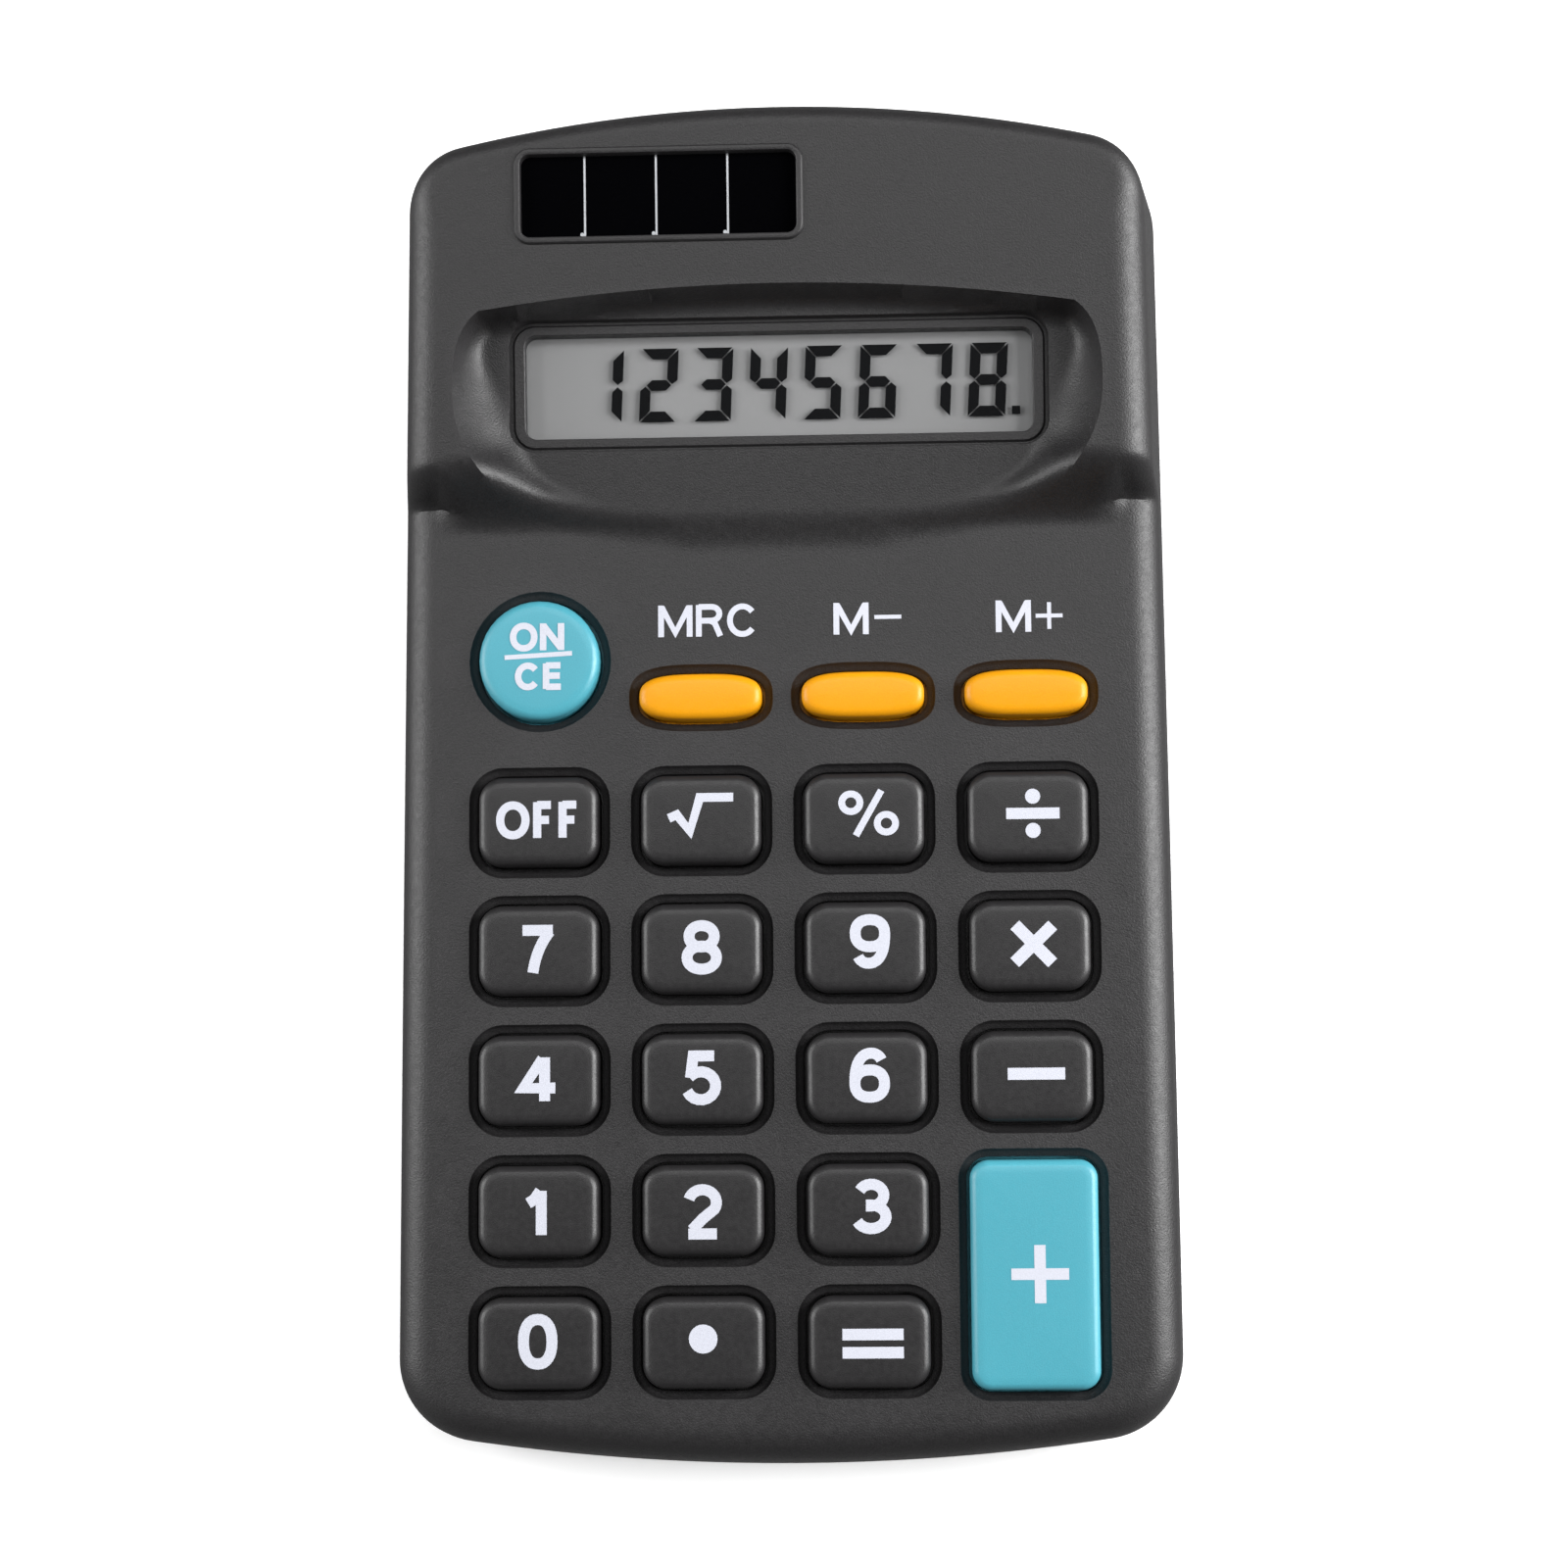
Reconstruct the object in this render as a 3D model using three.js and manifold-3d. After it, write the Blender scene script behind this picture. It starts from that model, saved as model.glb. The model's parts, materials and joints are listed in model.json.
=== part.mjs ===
// A pocket calculator: a wedge-shaped plastic case that is thin under the keys and thick under the display,
// twenty-three push keys on a rubber mat, a tilted liquid crystal display, a solar cell, and one round
// battery that lies across the thick end behind a hinged door.
//
// Millimetres. X runs to the right, Y from the foot edge to the display end, Z out of the front.
// The pieces are drawn with Y = 0 at the foot edge, and the last group moves the origin to the middle of
// the back.
import * as THREE from "three";
import { mergeVertices } from "three/addons/utils/BufferGeometryUtils.js";
import Module from "manifold-3d";

const wasm = await Module();
wasm.setup();

// ---------------------------------------------------------------- driving dimensions

// Case outline, seen from the front
const LENGTH = 116.3;
const FOOT_HALF_WIDTH = 33.4;
const HEAD_HALF_WIDTH = 32.8;
const FOOT_CORNER_Y = 9;
const HEAD_CORNER_Y = 106.3;
const CORNER_RADIUS = 7.2;
const FOOT_ARC_RADIUS = 190;
const HEAD_ARC_RADIUS = 125;

// Case heights, seen from the side
const PARTING_HEIGHT = 6; // where the rear case ends and the front case begins
const DECK_HEIGHT = 11; // the flat face around the keys
const STEP_FOOT_Y = 80.6; // the hump rises between these two lines
const STEP_HEAD_Y = 83.4;
const RIDGE_Y = 99; // the hood edge above the display
const RIDGE_HEIGHT = 18.1;
const HUMP_SLOPE = THREE.MathUtils.degToRad(5);
const SIDE_DRAFT = 2; // how far the walls lean in over DRAFT_HEIGHT
const DRAFT_HEIGHT = 14;
const HEAD_ROUND = 4.5; // rounding of the hump's far edge
const WALL = 1.5;
const DECK_THICKNESS = 1.8;
const FLOOR_THICKNESS = 1.5;
const BACK_EDGE_ROUND = 1.2;

// Keys
const COLUMN_PITCH = 13.87;
const ROW_PITCH = 10.98;
const FIRST_ROW_Y = 10.5;
const MEMORY_ROW_Y = 65;
const POWER_KEY = { x: -20.75, y: 68.3 };
const KEY_TRAVEL = 1.1;
const KEY_RISE = KEY_TRAVEL + 0.3; // above the deck, so that a pressed key is still a little proud
const KEY_GAP = 0.27; // between a key and the edge of its hole
const KEY_SKIRT = 1.1;
const FLANGE_THICKNESS = 0.8;
const FLANGE_LIP = 0.9; // how far the flange is wider than the key
const WELL_DEPTH = 0.6;
const WELL_LIP = 0.95; // how far the well is wider than the key

// Board, rubber mat and screws
const BOARD_THICKNESS = 1;
const BOARD_TOP = 5.9;
const BOARD_BOTTOM = BOARD_TOP - BOARD_THICKNESS;
const BOARD_HALF_WIDTH = 29.7;
const BOARD_FOOT_Y = 6.6;
const BOARD_HEAD_Y = 82;
const MAT_THICKNESS = 0.6;
const MAT_HALF_WIDTH = 27;
const MAT_HEAD_Y = 73.6;
const DOME_RADIUS = 3.3;
const PLUNGER_RADIUS = 1.9;
const CHIP = { radius: 5, height: 1.4, x: 6, y: 77.5 };
const SCREW_RADIUS = 0.95;
const SCREW_CLEARANCE = 0.05;
const CASE_SCREW = { headRadius: 1.8, headHeight: 1.2, length: 8 };
const BOARD_SCREW = { headRadius: 1.5, headHeight: 0.9, length: 4 };
const CASE_SCREW_SEAT = 1.8; // depth of the hole in the back that a case screw's head sits in
const CASE_POST_TOP = PARTING_HEIGHT + 1;
const SCREW_HOLE_TOP = DECK_HEIGHT - 0.8;
const CASE_SCREWS = mirrored([
  { x: COLUMN_PITCH, y: 3.9, boss: 2.1 },
  { x: 26.4, y: 88.4, boss: 2.1 },
]);
const BOARD_SCREWS = mirrored([
  { x: 28.9, y: 16, boss: 1.5 },
  { x: 28.9, y: 59.8, boss: 1.5 },
]);

// Display
const DISPLAY_Y = 91.8;
const DISPLAY_TILT = THREE.MathUtils.degToRad(7.4);
const SCOOP_FOOT_HEIGHT = 12.1; // height of the scooped face at STEP_FOOT_Y
// The rim of the hollow that the display lies in: half widths, and the places along Y where they apply
const SCOOP = { side: 27.4, sideY: 90.3, shoulder: 25.2, shoulderY: 97.2, mouth: 21 };
const RECESS = { width: 45.4, height: 10.6, radius: 1.7, depth: 0.5 };
const OPENING = { width: 42.9, height: 8.6, radius: 1 };
const OPENING_LIP = 0.4;
const WINDOW = { width: 46.6, height: 11.2, thickness: 0.5 };
// foot and head are how far the panel reaches from its middle
const PANEL = { width: 46.4, foot: 5.6, head: 4.7, thickness: 1.6, ledge: 1.7 };
const PAD = { halfWidth: 18, foot: -1.5, head: 2.5, thickness: 1.2 };
const RIBBON = { width: 38, thickness: 0.3 };
const FIT_GAP = 0.12;

// Solar cell
const SOLAR = { x: -9.8, y: 106.9, width: 23.1, height: 6.8, depth: 0.5, thickness: 1.1 };
const SOLAR_LIP = 0.3; // how far the cell's plate runs under the edge of its window
const SOLAR_RIM = { width: 0.6, rise: 0.25, foot: 0.4 };

// Battery, size AA, and its door
const CELL = { radius: 7.25, length: 50.5, nub: 1, nubRadius: 2.75, y: 104.9, height: 8.75 };
const BAY_HALF_LENGTH = 27.6;
const BAY = { wall: 0.95, footGap: 0.6, footHeight: 8.2, endHeight: 10, pastCell: 3 };
const CELL_CLEARANCE = 0.3;
const SPRING = { wire: 0.3, turns: 3, wide: 3.9, narrow: 2.3, gap: 0.05 };
const LEAF = { width: 7, thickness: 0.3, foot: 3, reach: 5, gap: 0.05 };
const DOOR_HALF_WIDTH = 25.9;
const DOOR_FOOT_Y = 97.3;
const DOOR_GAP = 0.2;
const DOOR_RECESS = 0.2; // the door lies a little below the back face
const DOOR_THICKNESS = 1.15;
const DOOR_LIP_HEIGHT = 3.6; // the door's far edge turns up into the end wall
const HOOK = { x: 16, width: 6, reach: 2.4, root: 1.2, thickness: 0.8, sideGap: 0.4, swingTop: 4.4 };

const CURVE_SEGMENTS = 4; // three.js gives an arc twice as many
const TALL = 30; // longer than any cut needs to be

// ---------------------------------------------------------------- helpers

const X_AXIS = new THREE.Vector3(1, 0, 0);

// Each place twice, on the left and on the right of the middle.
function mirrored(places) {
  return places.flatMap((place) => [
    { ...place, x: -place.x },
    { ...place, x: place.x },
  ]);
}

// A shape drawn in (Y, Z) and extruded along X: shape x becomes Y, shape y becomes Z, depth becomes X.
const SIDE_ON = new THREE.Matrix4().makeBasis(
  new THREE.Vector3(0, 1, 0),
  new THREE.Vector3(0, 0, 1),
  new THREE.Vector3(1, 0, 0),
);

function solidOf(geometry) {
  const bare = geometry.clone();
  bare.deleteAttribute("normal");
  bare.deleteAttribute("uv");
  const merged = mergeVertices(bare, 1e-4);
  const triVerts = new Uint32Array(merged.index.array);
  const vertProperties = merged.attributes.position.array;
  return new wasm.Manifold(new wasm.Mesh({ numProp: 3, vertProperties, triVerts }));
}

function geometryOf(solid) {
  const mesh = solid.getMesh();
  const geometry = new THREE.BufferGeometry();
  geometry.setAttribute("position", new THREE.BufferAttribute(mesh.vertProperties, 3));
  geometry.setIndex(new THREE.BufferAttribute(mesh.triVerts, 1));
  return geometry;
}

function join(solids) {
  return solids.reduce((whole, piece) => whole.add(piece));
}

function cut(base, tools) {
  return tools.reduce((left, tool) => left.subtract(tool), base);
}

function extrude(shape, depth, from = 0, curveSegments = CURVE_SEGMENTS) {
  const geometry = new THREE.ExtrudeGeometry(shape, { depth, curveSegments, bevelEnabled: false });
  return geometry.translate(0, 0, from);
}

// Extrudes a (Y, Z) shape across the case, centred on X = x.
function extrudeAcross(shape, width, x = 0) {
  return extrude(shape, width, -width / 2).applyMatrix4(SIDE_ON).translate(x, 0, 0);
}

function barAcross(radius, length, y, z, sides) {
  return new THREE.CylinderGeometry(radius, radius, length, sides).rotateZ(Math.PI / 2).translate(0, y, z);
}

function block(low, high) {
  const size = high.map((value, axis) => value - low[axis]);
  const middle = high.map((value, axis) => (value + low[axis]) / 2);
  return new THREE.BoxGeometry(...size).translate(...middle);
}

// An upright cylinder from one height to another.
function pillar(radius, low, high, x, y, sides = 12) {
  return new THREE.CylinderGeometry(radius, radius, high - low, sides)
    .rotateX(Math.PI / 2)
    .translate(x, y, (low + high) / 2);
}

// A closed profile of [radius, height] pairs turned about the Z axis.
function turned(profile, sides = 12) {
  const points = profile.map(([radius, height]) => new THREE.Vector2(radius, height));
  return new THREE.LatheGeometry(points, sides).rotateX(Math.PI / 2);
}

function polygon(points) {
  return new THREE.Shape(points.map(([x, y]) => new THREE.Vector2(x, y)));
}

function roundedRectangle(width, height, radius) {
  const right = width / 2;
  const top = height / 2;
  const quarter = Math.PI / 2;
  const shape = new THREE.Shape();
  shape.absarc(right - radius, radius - top, radius, -quarter, 0);
  shape.absarc(right - radius, top - radius, radius, 0, quarter);
  shape.absarc(radius - right, top - radius, radius, quarter, 2 * quarter);
  shape.absarc(radius - right, radius - top, radius, 2 * quarter, 3 * quarter);
  shape.closePath();
  return shape;
}

// A flat strip bent along a line of [y, z] points, as a closed outline.
function bentStrip(points, thickness) {
  const line = points.map(([y, z]) => new THREE.Vector2(y, z));
  const normals = line.map((_, i) => {
    const before = line[Math.max(i - 1, 0)];
    const after = line[Math.min(i + 1, line.length - 1)];
    return new THREE.Vector2(before.y - after.y, after.x - before.x).setLength(thickness / 2);
  });
  const upper = line.map((point, i) => point.clone().add(normals[i]));
  const lower = line.map((point, i) => point.clone().sub(normals[i]));
  return new THREE.Shape([...lower, ...upper.reverse()]);
}

function wireAlong(points, radius, steps) {
  const path = new THREE.CatmullRomCurve3(points.map((point) => new THREE.Vector3(...point)));
  const section = new THREE.Shape();
  section.absarc(0, 0, radius, 0, 2 * Math.PI);
  return new THREE.ExtrudeGeometry(section, { steps, curveSegments: 3, extrudePath: path });
}

// ---------------------------------------------------------------- case form

const TAPER = Math.atan((FOOT_HALF_WIDTH - HEAD_HALF_WIDTH) / (HEAD_CORNER_Y - FOOT_CORNER_Y));

function halfWidthAt(y) {
  return FOOT_HALF_WIDTH - (y - FOOT_CORNER_Y) * Math.tan(TAPER);
}

// Centre of the round corner that touches the side line and an end arc. direction is -1 at the foot and 1 at
// the head.
function cornerCentre(arcCentreY, arcRadius, direction) {
  const reach = arcRadius - CORNER_RADIUS;
  let x = 0;
  let y = arcCentreY + direction * reach;
  for (let step = 0; step < 6; step++) {
    x = halfWidthAt(y) - CORNER_RADIUS / Math.cos(TAPER);
    y = arcCentreY + direction * Math.sqrt(reach ** 2 - x ** 2);
  }
  return new THREE.Vector2(x, y);
}

// The case seen from the front, drawn inset millimetres inside its outer edge.
function caseOutline(inset) {
  const footCentreY = FOOT_ARC_RADIUS;
  const headCentreY = LENGTH - HEAD_ARC_RADIUS;
  const foot = cornerCentre(footCentreY, FOOT_ARC_RADIUS, -1);
  const head = cornerCentre(headCentreY, HEAD_ARC_RADIUS, 1);
  const footAngle = Math.atan2(foot.y - footCentreY, foot.x);
  const headAngle = Math.atan2(head.y - headCentreY, head.x);
  const corner = CORNER_RADIUS - inset;
  const shape = new THREE.Shape();
  shape.absarc(0, footCentreY, FOOT_ARC_RADIUS - inset, -Math.PI - footAngle, footAngle);
  shape.absarc(foot.x, foot.y, corner, footAngle, TAPER);
  shape.absarc(head.x, head.y, corner, TAPER, headAngle);
  shape.absarc(0, headCentreY, HEAD_ARC_RADIUS - inset, headAngle, Math.PI - headAngle);
  shape.absarc(-head.x, head.y, corner, Math.PI - headAngle, Math.PI - TAPER);
  shape.absarc(-foot.x, foot.y, corner, Math.PI - TAPER, Math.PI - footAngle);
  shape.closePath();
  return shape;
}

function humpHeightAt(y) {
  return RIDGE_HEIGHT + (y - RIDGE_Y) * Math.tan(HUMP_SLOPE);
}

function scoopHeightAt(y) {
  return SCOOP_FOOT_HEIGHT + (y - STEP_FOOT_Y) * Math.tan(DISPLAY_TILT);
}

// The case seen from the side, above the parting line. sunk lowers its top by a plate's thickness.
function sideProfile(sunk) {
  const top = humpHeightAt(LENGTH);
  const lean = (SIDE_DRAFT * (top - PARTING_HEIGHT)) / DRAFT_HEIGHT;
  const edge = LENGTH - lean - sunk; // where the top and the end wall meet
  const roundStart = edge - HEAD_ROUND;
  const shape = new THREE.Shape();
  shape.moveTo(-1, 0);
  shape.lineTo(LENGTH + 1, 0);
  shape.lineTo(LENGTH - sunk, top - HEAD_ROUND - sunk);
  shape.quadraticCurveTo(edge, top - sunk, roundStart, humpHeightAt(roundStart) - sunk);
  shape.lineTo(STEP_HEAD_Y + sunk / 2, humpHeightAt(STEP_HEAD_Y + sunk / 2) - sunk);
  shape.lineTo(STEP_FOOT_Y + sunk / 2, DECK_HEIGHT - sunk);
  shape.lineTo(-1, DECK_HEIGHT - sunk);
  shape.closePath();
  return shape;
}

// The rounded hollow that holds the display: a hood arc above, two bulging sides, open towards the keys.
function scoopOutline(grow) {
  const side = SCOOP.side + grow;
  const mouth = SCOOP.mouth + grow;
  const shoulder = SCOOP.shoulder + grow;
  const shoulderY = SCOOP.shoulderY + grow / 2;
  const mouthY = STEP_FOOT_Y - 1.5;
  const crownY = 2 * RIDGE_Y - SCOOP.shoulderY + grow; // control point of the hood arc
  const cornerY = SCOOP.shoulderY - 2; // control point of the round corner below the hood
  const flareY = SCOOP.sideY - 5;
  const shape = new THREE.Shape();
  shape.moveTo(-mouth, mouthY);
  shape.bezierCurveTo(-mouth - 4, mouthY + 3, -side, flareY, -side, SCOOP.sideY);
  shape.quadraticCurveTo(-side, cornerY, -shoulder, shoulderY);
  shape.quadraticCurveTo(0, crownY, shoulder, shoulderY);
  shape.quadraticCurveTo(side, cornerY, side, SCOOP.sideY);
  shape.bezierCurveTo(side, flareY, mouth + 4, mouthY + 3, mouth, mouthY);
  shape.closePath();
  return shape;
}

// Everything above the scooped face, lowered by sunk.
function scoopCutter(grow, sunk) {
  const above = polygon([
    [0, scoopHeightAt(0) - sunk],
    [LENGTH, scoopHeightAt(LENGTH) - sunk],
    [LENGTH, TALL],
    [0, TALL],
  ]);
  const column = solidOf(extrude(scoopOutline(grow), TALL));
  return column.intersect(solidOf(extrudeAcross(above, 4 * HEAD_HALF_WIDTH)));
}

// The outline, inset all round, as a tall solid whose walls lean inwards above the parting line.
function draftedBody(inset) {
  const geometry = new THREE.ExtrudeGeometry(caseOutline(SIDE_DRAFT + inset), {
    depth: DRAFT_HEIGHT,
    curveSegments: CURVE_SEGMENTS,
    bevelSize: SIDE_DRAFT,
    bevelThickness: DRAFT_HEIGHT,
    bevelSegments: 1,
  });
  geometry.translate(0, 0, PARTING_HEIGHT - DRAFT_HEIGHT);
  const below = block([-2 * LENGTH, -2 * LENGTH, -2 * TALL], [2 * LENGTH, 2 * LENGTH, PARTING_HEIGHT]);
  return solidOf(geometry).subtract(solidOf(below));
}

// ---------------------------------------------------------------- key layout

const COLUMNS = [-1.5, -0.5, 0.5, 1.5].map((step) => step * COLUMN_PITCH);
const SQUARE_CAP = { width: 10.2, height: 7.6, radius: 2, facets: 1 };
const MEMORY_CAP = { width: 10.45, height: 3.9, radius: 1.9, facets: 2 };
const TALL_CAP = { width: 10.7, height: 19.05, radius: 1.6, facets: 1 };
const ROUND_CAP = { width: 10.3, height: 10.3, radius: 5.1, facets: 3 };

const KEY_COLOURS = { charcoal: 0x2b2a2b, teal: 0x3fa9b8, amber: 0xf2a21e };

// Rows from the foot upwards, left to right. The tall plus key fills the right end of the two lowest rows.
const SQUARE_ROWS = [
  ["key_0", "key_point", "key_equals"],
  ["key_1", "key_2", "key_3"],
  ["key_4", "key_5", "key_6", "key_minus"],
  ["key_7", "key_8", "key_9", "key_times"],
  ["key_off", "key_root", "key_percent", "key_divide"],
];

const KEYS = [
  ...SQUARE_ROWS.flatMap((row, rowNumber) =>
    row.map((name, column) => ({
      name,
      x: COLUMNS[column],
      y: FIRST_ROW_Y + rowNumber * ROW_PITCH,
      cap: SQUARE_CAP,
      colour: KEY_COLOURS.charcoal,
    })),
  ),
  {
    name: "key_plus",
    x: COLUMNS[3],
    y: FIRST_ROW_Y + ROW_PITCH / 2,
    cap: TALL_CAP,
    colour: KEY_COLOURS.teal,
  },
  { name: "key_on_clear", ...POWER_KEY, cap: ROUND_CAP, colour: KEY_COLOURS.teal },
  ...["key_memory_recall", "key_memory_minus", "key_memory_plus"].map((name, i) => ({
    name,
    x: COLUMNS[i + 1],
    y: MEMORY_ROW_Y,
    cap: MEMORY_CAP,
    colour: KEY_COLOURS.amber,
  })),
];

// A key's outline, larger all round by grow.
function capOutline(cap, grow) {
  return roundedRectangle(cap.width + 2 * grow, cap.height + 2 * grow, cap.radius + grow);
}

const DECK_UNDERSIDE = DECK_HEIGHT - DECK_THICKNESS;
const FLANGE_TOP = DECK_UNDERSIDE - 0.1;
const FLANGE_BOTTOM = FLANGE_TOP - FLANGE_THICKNESS;
const PLUNGER_TOP = FLANGE_BOTTOM - 0.2; // top of a rubber dome, where the key's post rests

// ---------------------------------------------------------------- pieces: case

// Local axes of the display: x to the right, y up the slope, z out of the scooped face.
const displayPlace = new THREE.Matrix4()
  .makeTranslation(0, DISPLAY_Y, scoopHeightAt(DISPLAY_Y))
  .multiply(new THREE.Matrix4().makeRotationAxis(X_AXIS, DISPLAY_TILT));

// Local axes of the solar cell, in the plane of the hump's top.
const solarPlace = new THREE.Matrix4()
  .makeTranslation(SOLAR.x, SOLAR.y, humpHeightAt(SOLAR.y))
  .multiply(new THREE.Matrix4().makeRotationAxis(X_AXIS, HUMP_SLOPE));

function keyHoles() {
  return KEYS.flatMap(({ x, y, cap }) => {
    const well = extrude(capOutline(cap, WELL_LIP), TALL, DECK_HEIGHT - WELL_DEPTH, cap.facets);
    const hole = extrude(capOutline(cap, KEY_GAP), TALL, PARTING_HEIGHT, cap.facets);
    return [well, hole].map((geometry) => solidOf(geometry.translate(x, y, 0)));
  });
}

function displayOpening() {
  const recess = roundedRectangle(RECESS.width, RECESS.height, RECESS.radius);
  const opening = roundedRectangle(OPENING.width, OPENING.height, OPENING.radius);
  const below = -5; // deeper than the scooped plate is thick
  const seatWidth = PANEL.width / 2 + 2 * FIT_GAP;
  const seatHeight = WINDOW.height / 2 + 2 * FIT_GAP;
  const seat = block([-seatWidth, -seatHeight, below], [seatWidth, seatHeight, -RECESS.depth - OPENING_LIP]);
  return [extrude(recess, TALL, -RECESS.depth, 2), extrude(opening, TALL, below, 2), seat].map((geometry) =>
    solidOf(geometry.applyMatrix4(displayPlace)),
  );
}

// The cell shows through a window in the hump's top, and its plate sits in a shallow seat under that window.
function solarOpening() {
  const grow = SOLAR_LIP + FIT_GAP;
  const seatDepth = SOLAR.thickness + 2 * FIT_GAP;
  const window = roundedRectangle(SOLAR.width, SOLAR.height, 0.8);
  const seat = roundedRectangle(SOLAR.width + 2 * grow, SOLAR.height + 2 * grow, 0.4);
  return [
    extrude(window, TALL, -SOLAR.depth - seatDepth - 0.5, 1),
    extrude(seat, seatDepth + 0.5, -SOLAR.depth - seatDepth - 0.5, 1),
  ].map((geometry) => solidOf(geometry.applyMatrix4(solarPlace)));
}

function solarRim() {
  const { width, rise, foot } = SOLAR_RIM;
  const outer = roundedRectangle(SOLAR.width + 2 * width, SOLAR.height + 2 * width, 1.4);
  return solidOf(extrude(outer, rise + foot, -foot, 2).applyMatrix4(solarPlace));
}

function frontCase() {
  const across = 3 * FOOT_HALF_WIDTH;
  const outer = draftedBody(0)
    .intersect(solidOf(extrudeAcross(sideProfile(0), across)))
    .subtract(scoopCutter(0, 0));
  const hollow = draftedBody(WALL)
    .intersect(solidOf(extrudeAcross(sideProfile(DECK_THICKNESS), across)))
    .subtract(scoopCutter(WALL, DECK_THICKNESS));
  const bossFrom = (low) => ({ x, y, boss }) => solidOf(pillar(boss, low, TALL, x, y)).intersect(outer);
  const bosses = [
    ...CASE_SCREWS.map(bossFrom(CASE_POST_TOP + 0.1)),
    ...BOARD_SCREWS.map(bossFrom(PARTING_HEIGHT)),
  ];
  const cores = [...CASE_SCREWS, ...BOARD_SCREWS].map(({ x, y }) =>
    solidOf(pillar(SCREW_RADIUS + SCREW_CLEARANCE, 0, SCREW_HOLE_TOP, x, y)),
  );
  const cellRoom = solidOf(
    barAcross(CELL.radius + CELL_CLEARANCE, 2 * BAY_HALF_LENGTH, CELL.y, CELL.height, 32),
  );
  const shell = join([outer.subtract(hollow), ...bosses, solarRim()]);
  return geometryOf(cut(shell, [...cores, cellRoom, ...keyHoles(), ...displayOpening(), ...solarOpening()]));
}

// The rear case before anything is cut from it: the outline with a rounded back edge.
function rearBody() {
  const geometry = new THREE.ExtrudeGeometry(caseOutline(BACK_EDGE_ROUND), {
    depth: PARTING_HEIGHT,
    curveSegments: CURVE_SEGMENTS,
    bevelSize: BACK_EDGE_ROUND,
    bevelThickness: BACK_EDGE_ROUND,
    bevelSegments: 2,
  });
  geometry.translate(0, 0, BACK_EDGE_ROUND);
  const above = block([-LENGTH, -LENGTH, PARTING_HEIGHT], [LENGTH, 2 * LENGTH, TALL]);
  return solidOf(geometry).subtract(solidOf(above));
}

// The part of the back that the door fills, larger all round by grow.
function doorRegion(grow) {
  const halfWidth = DOOR_HALF_WIDTH + grow;
  const low = [-halfWidth, DOOR_FOOT_Y - grow, -1];
  return solidOf(block(low, [halfWidth, LENGTH + 1, DOOR_LIP_HEIGHT + grow]));
}

// Walls that hold the battery, standing on the floor of the rear case.
function batteryBay() {
  const root = FLOOR_THICKNESS / 2;
  const footWallY = DOOR_FOOT_Y - BAY.footGap;
  const footWall = block(
    [-BAY_HALF_LENGTH - BAY.wall, footWallY - BAY.wall, root],
    [BAY_HALF_LENGTH + BAY.wall, footWallY, BAY.footHeight],
  );
  const endWalls = [-1, 1].map((side) => {
    const middle = side * (BAY_HALF_LENGTH + BAY.wall / 2);
    return block(
      [middle - BAY.wall / 2, footWallY - BAY.wall / 2, root],
      [middle + BAY.wall / 2, CELL.y + BAY.pastCell, BAY.endHeight],
    );
  });
  return [footWall, ...endWalls].map(solidOf);
}

// Gaps in the bay's foot wall that the door's hooks swing through.
function hookSlots() {
  return [-1, 1].map((side) => {
    const halfWidth = HOOK.width / 2 + HOOK.sideGap;
    return solidOf(
      block(
        [side * HOOK.x - halfWidth, DOOR_FOOT_Y - HOOK.reach - 0.6, FLOOR_THICKNESS],
        [side * HOOK.x + halfWidth, DOOR_FOOT_Y + HOOK.root, HOOK.swingTop],
      ),
    );
  });
}

function rearCase() {
  const hollow = solidOf(extrude(caseOutline(WALL), TALL, FLOOR_THICKNESS));
  const inside = solidOf(extrude(caseOutline(WALL + 0.6), TALL));
  const posts = CASE_SCREWS.map(({ x, y, boss }) =>
    solidOf(pillar(boss + 0.2, FLOOR_THICKNESS / 2, CASE_POST_TOP, x, y)).intersect(inside),
  );
  const holes = CASE_SCREWS.flatMap(({ x, y }) => [
    solidOf(pillar(SCREW_RADIUS + 0.2, -1, TALL, x, y)),
    solidOf(pillar(CASE_SCREW.headRadius + 0.2, -1, CASE_SCREW_SEAT, x, y)),
  ]);
  const tray = join([rearBody().subtract(hollow), ...posts, ...batteryBay()]);
  return geometryOf(cut(tray, [doorRegion(DOOR_GAP), ...hookSlots(), ...holes]));
}

function batteryDoor() {
  const upturn = solidOf(extrude(caseOutline(WALL), TALL, DOOR_RECESS + DOOR_THICKNESS));
  const sunk = solidOf(block([-LENGTH, 0, -1], [LENGTH, LENGTH + 1, DOOR_RECESS]));
  const panel = cut(rearBody().intersect(doorRegion(0)), [upturn, sunk]);
  const hooks = [-1, 1].map((side) => {
    const low = FLOOR_THICKNESS + DOOR_GAP;
    const inDoor = DOOR_RECESS + DOOR_THICKNESS / 2;
    const tip = DOOR_FOOT_Y - HOOK.reach;
    const root = DOOR_FOOT_Y + HOOK.root;
    const outline = polygon([
      [tip, low],
      [DOOR_FOOT_Y, low],
      [DOOR_FOOT_Y, inDoor],
      [root, inDoor],
      [root, low + HOOK.thickness],
      [tip, low + HOOK.thickness],
    ]);
    return solidOf(extrudeAcross(outline, HOOK.width, side * HOOK.x));
  });
  return geometryOf(join([panel, ...hooks]));
}

// ---------------------------------------------------------------- pieces: keys and board

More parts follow.
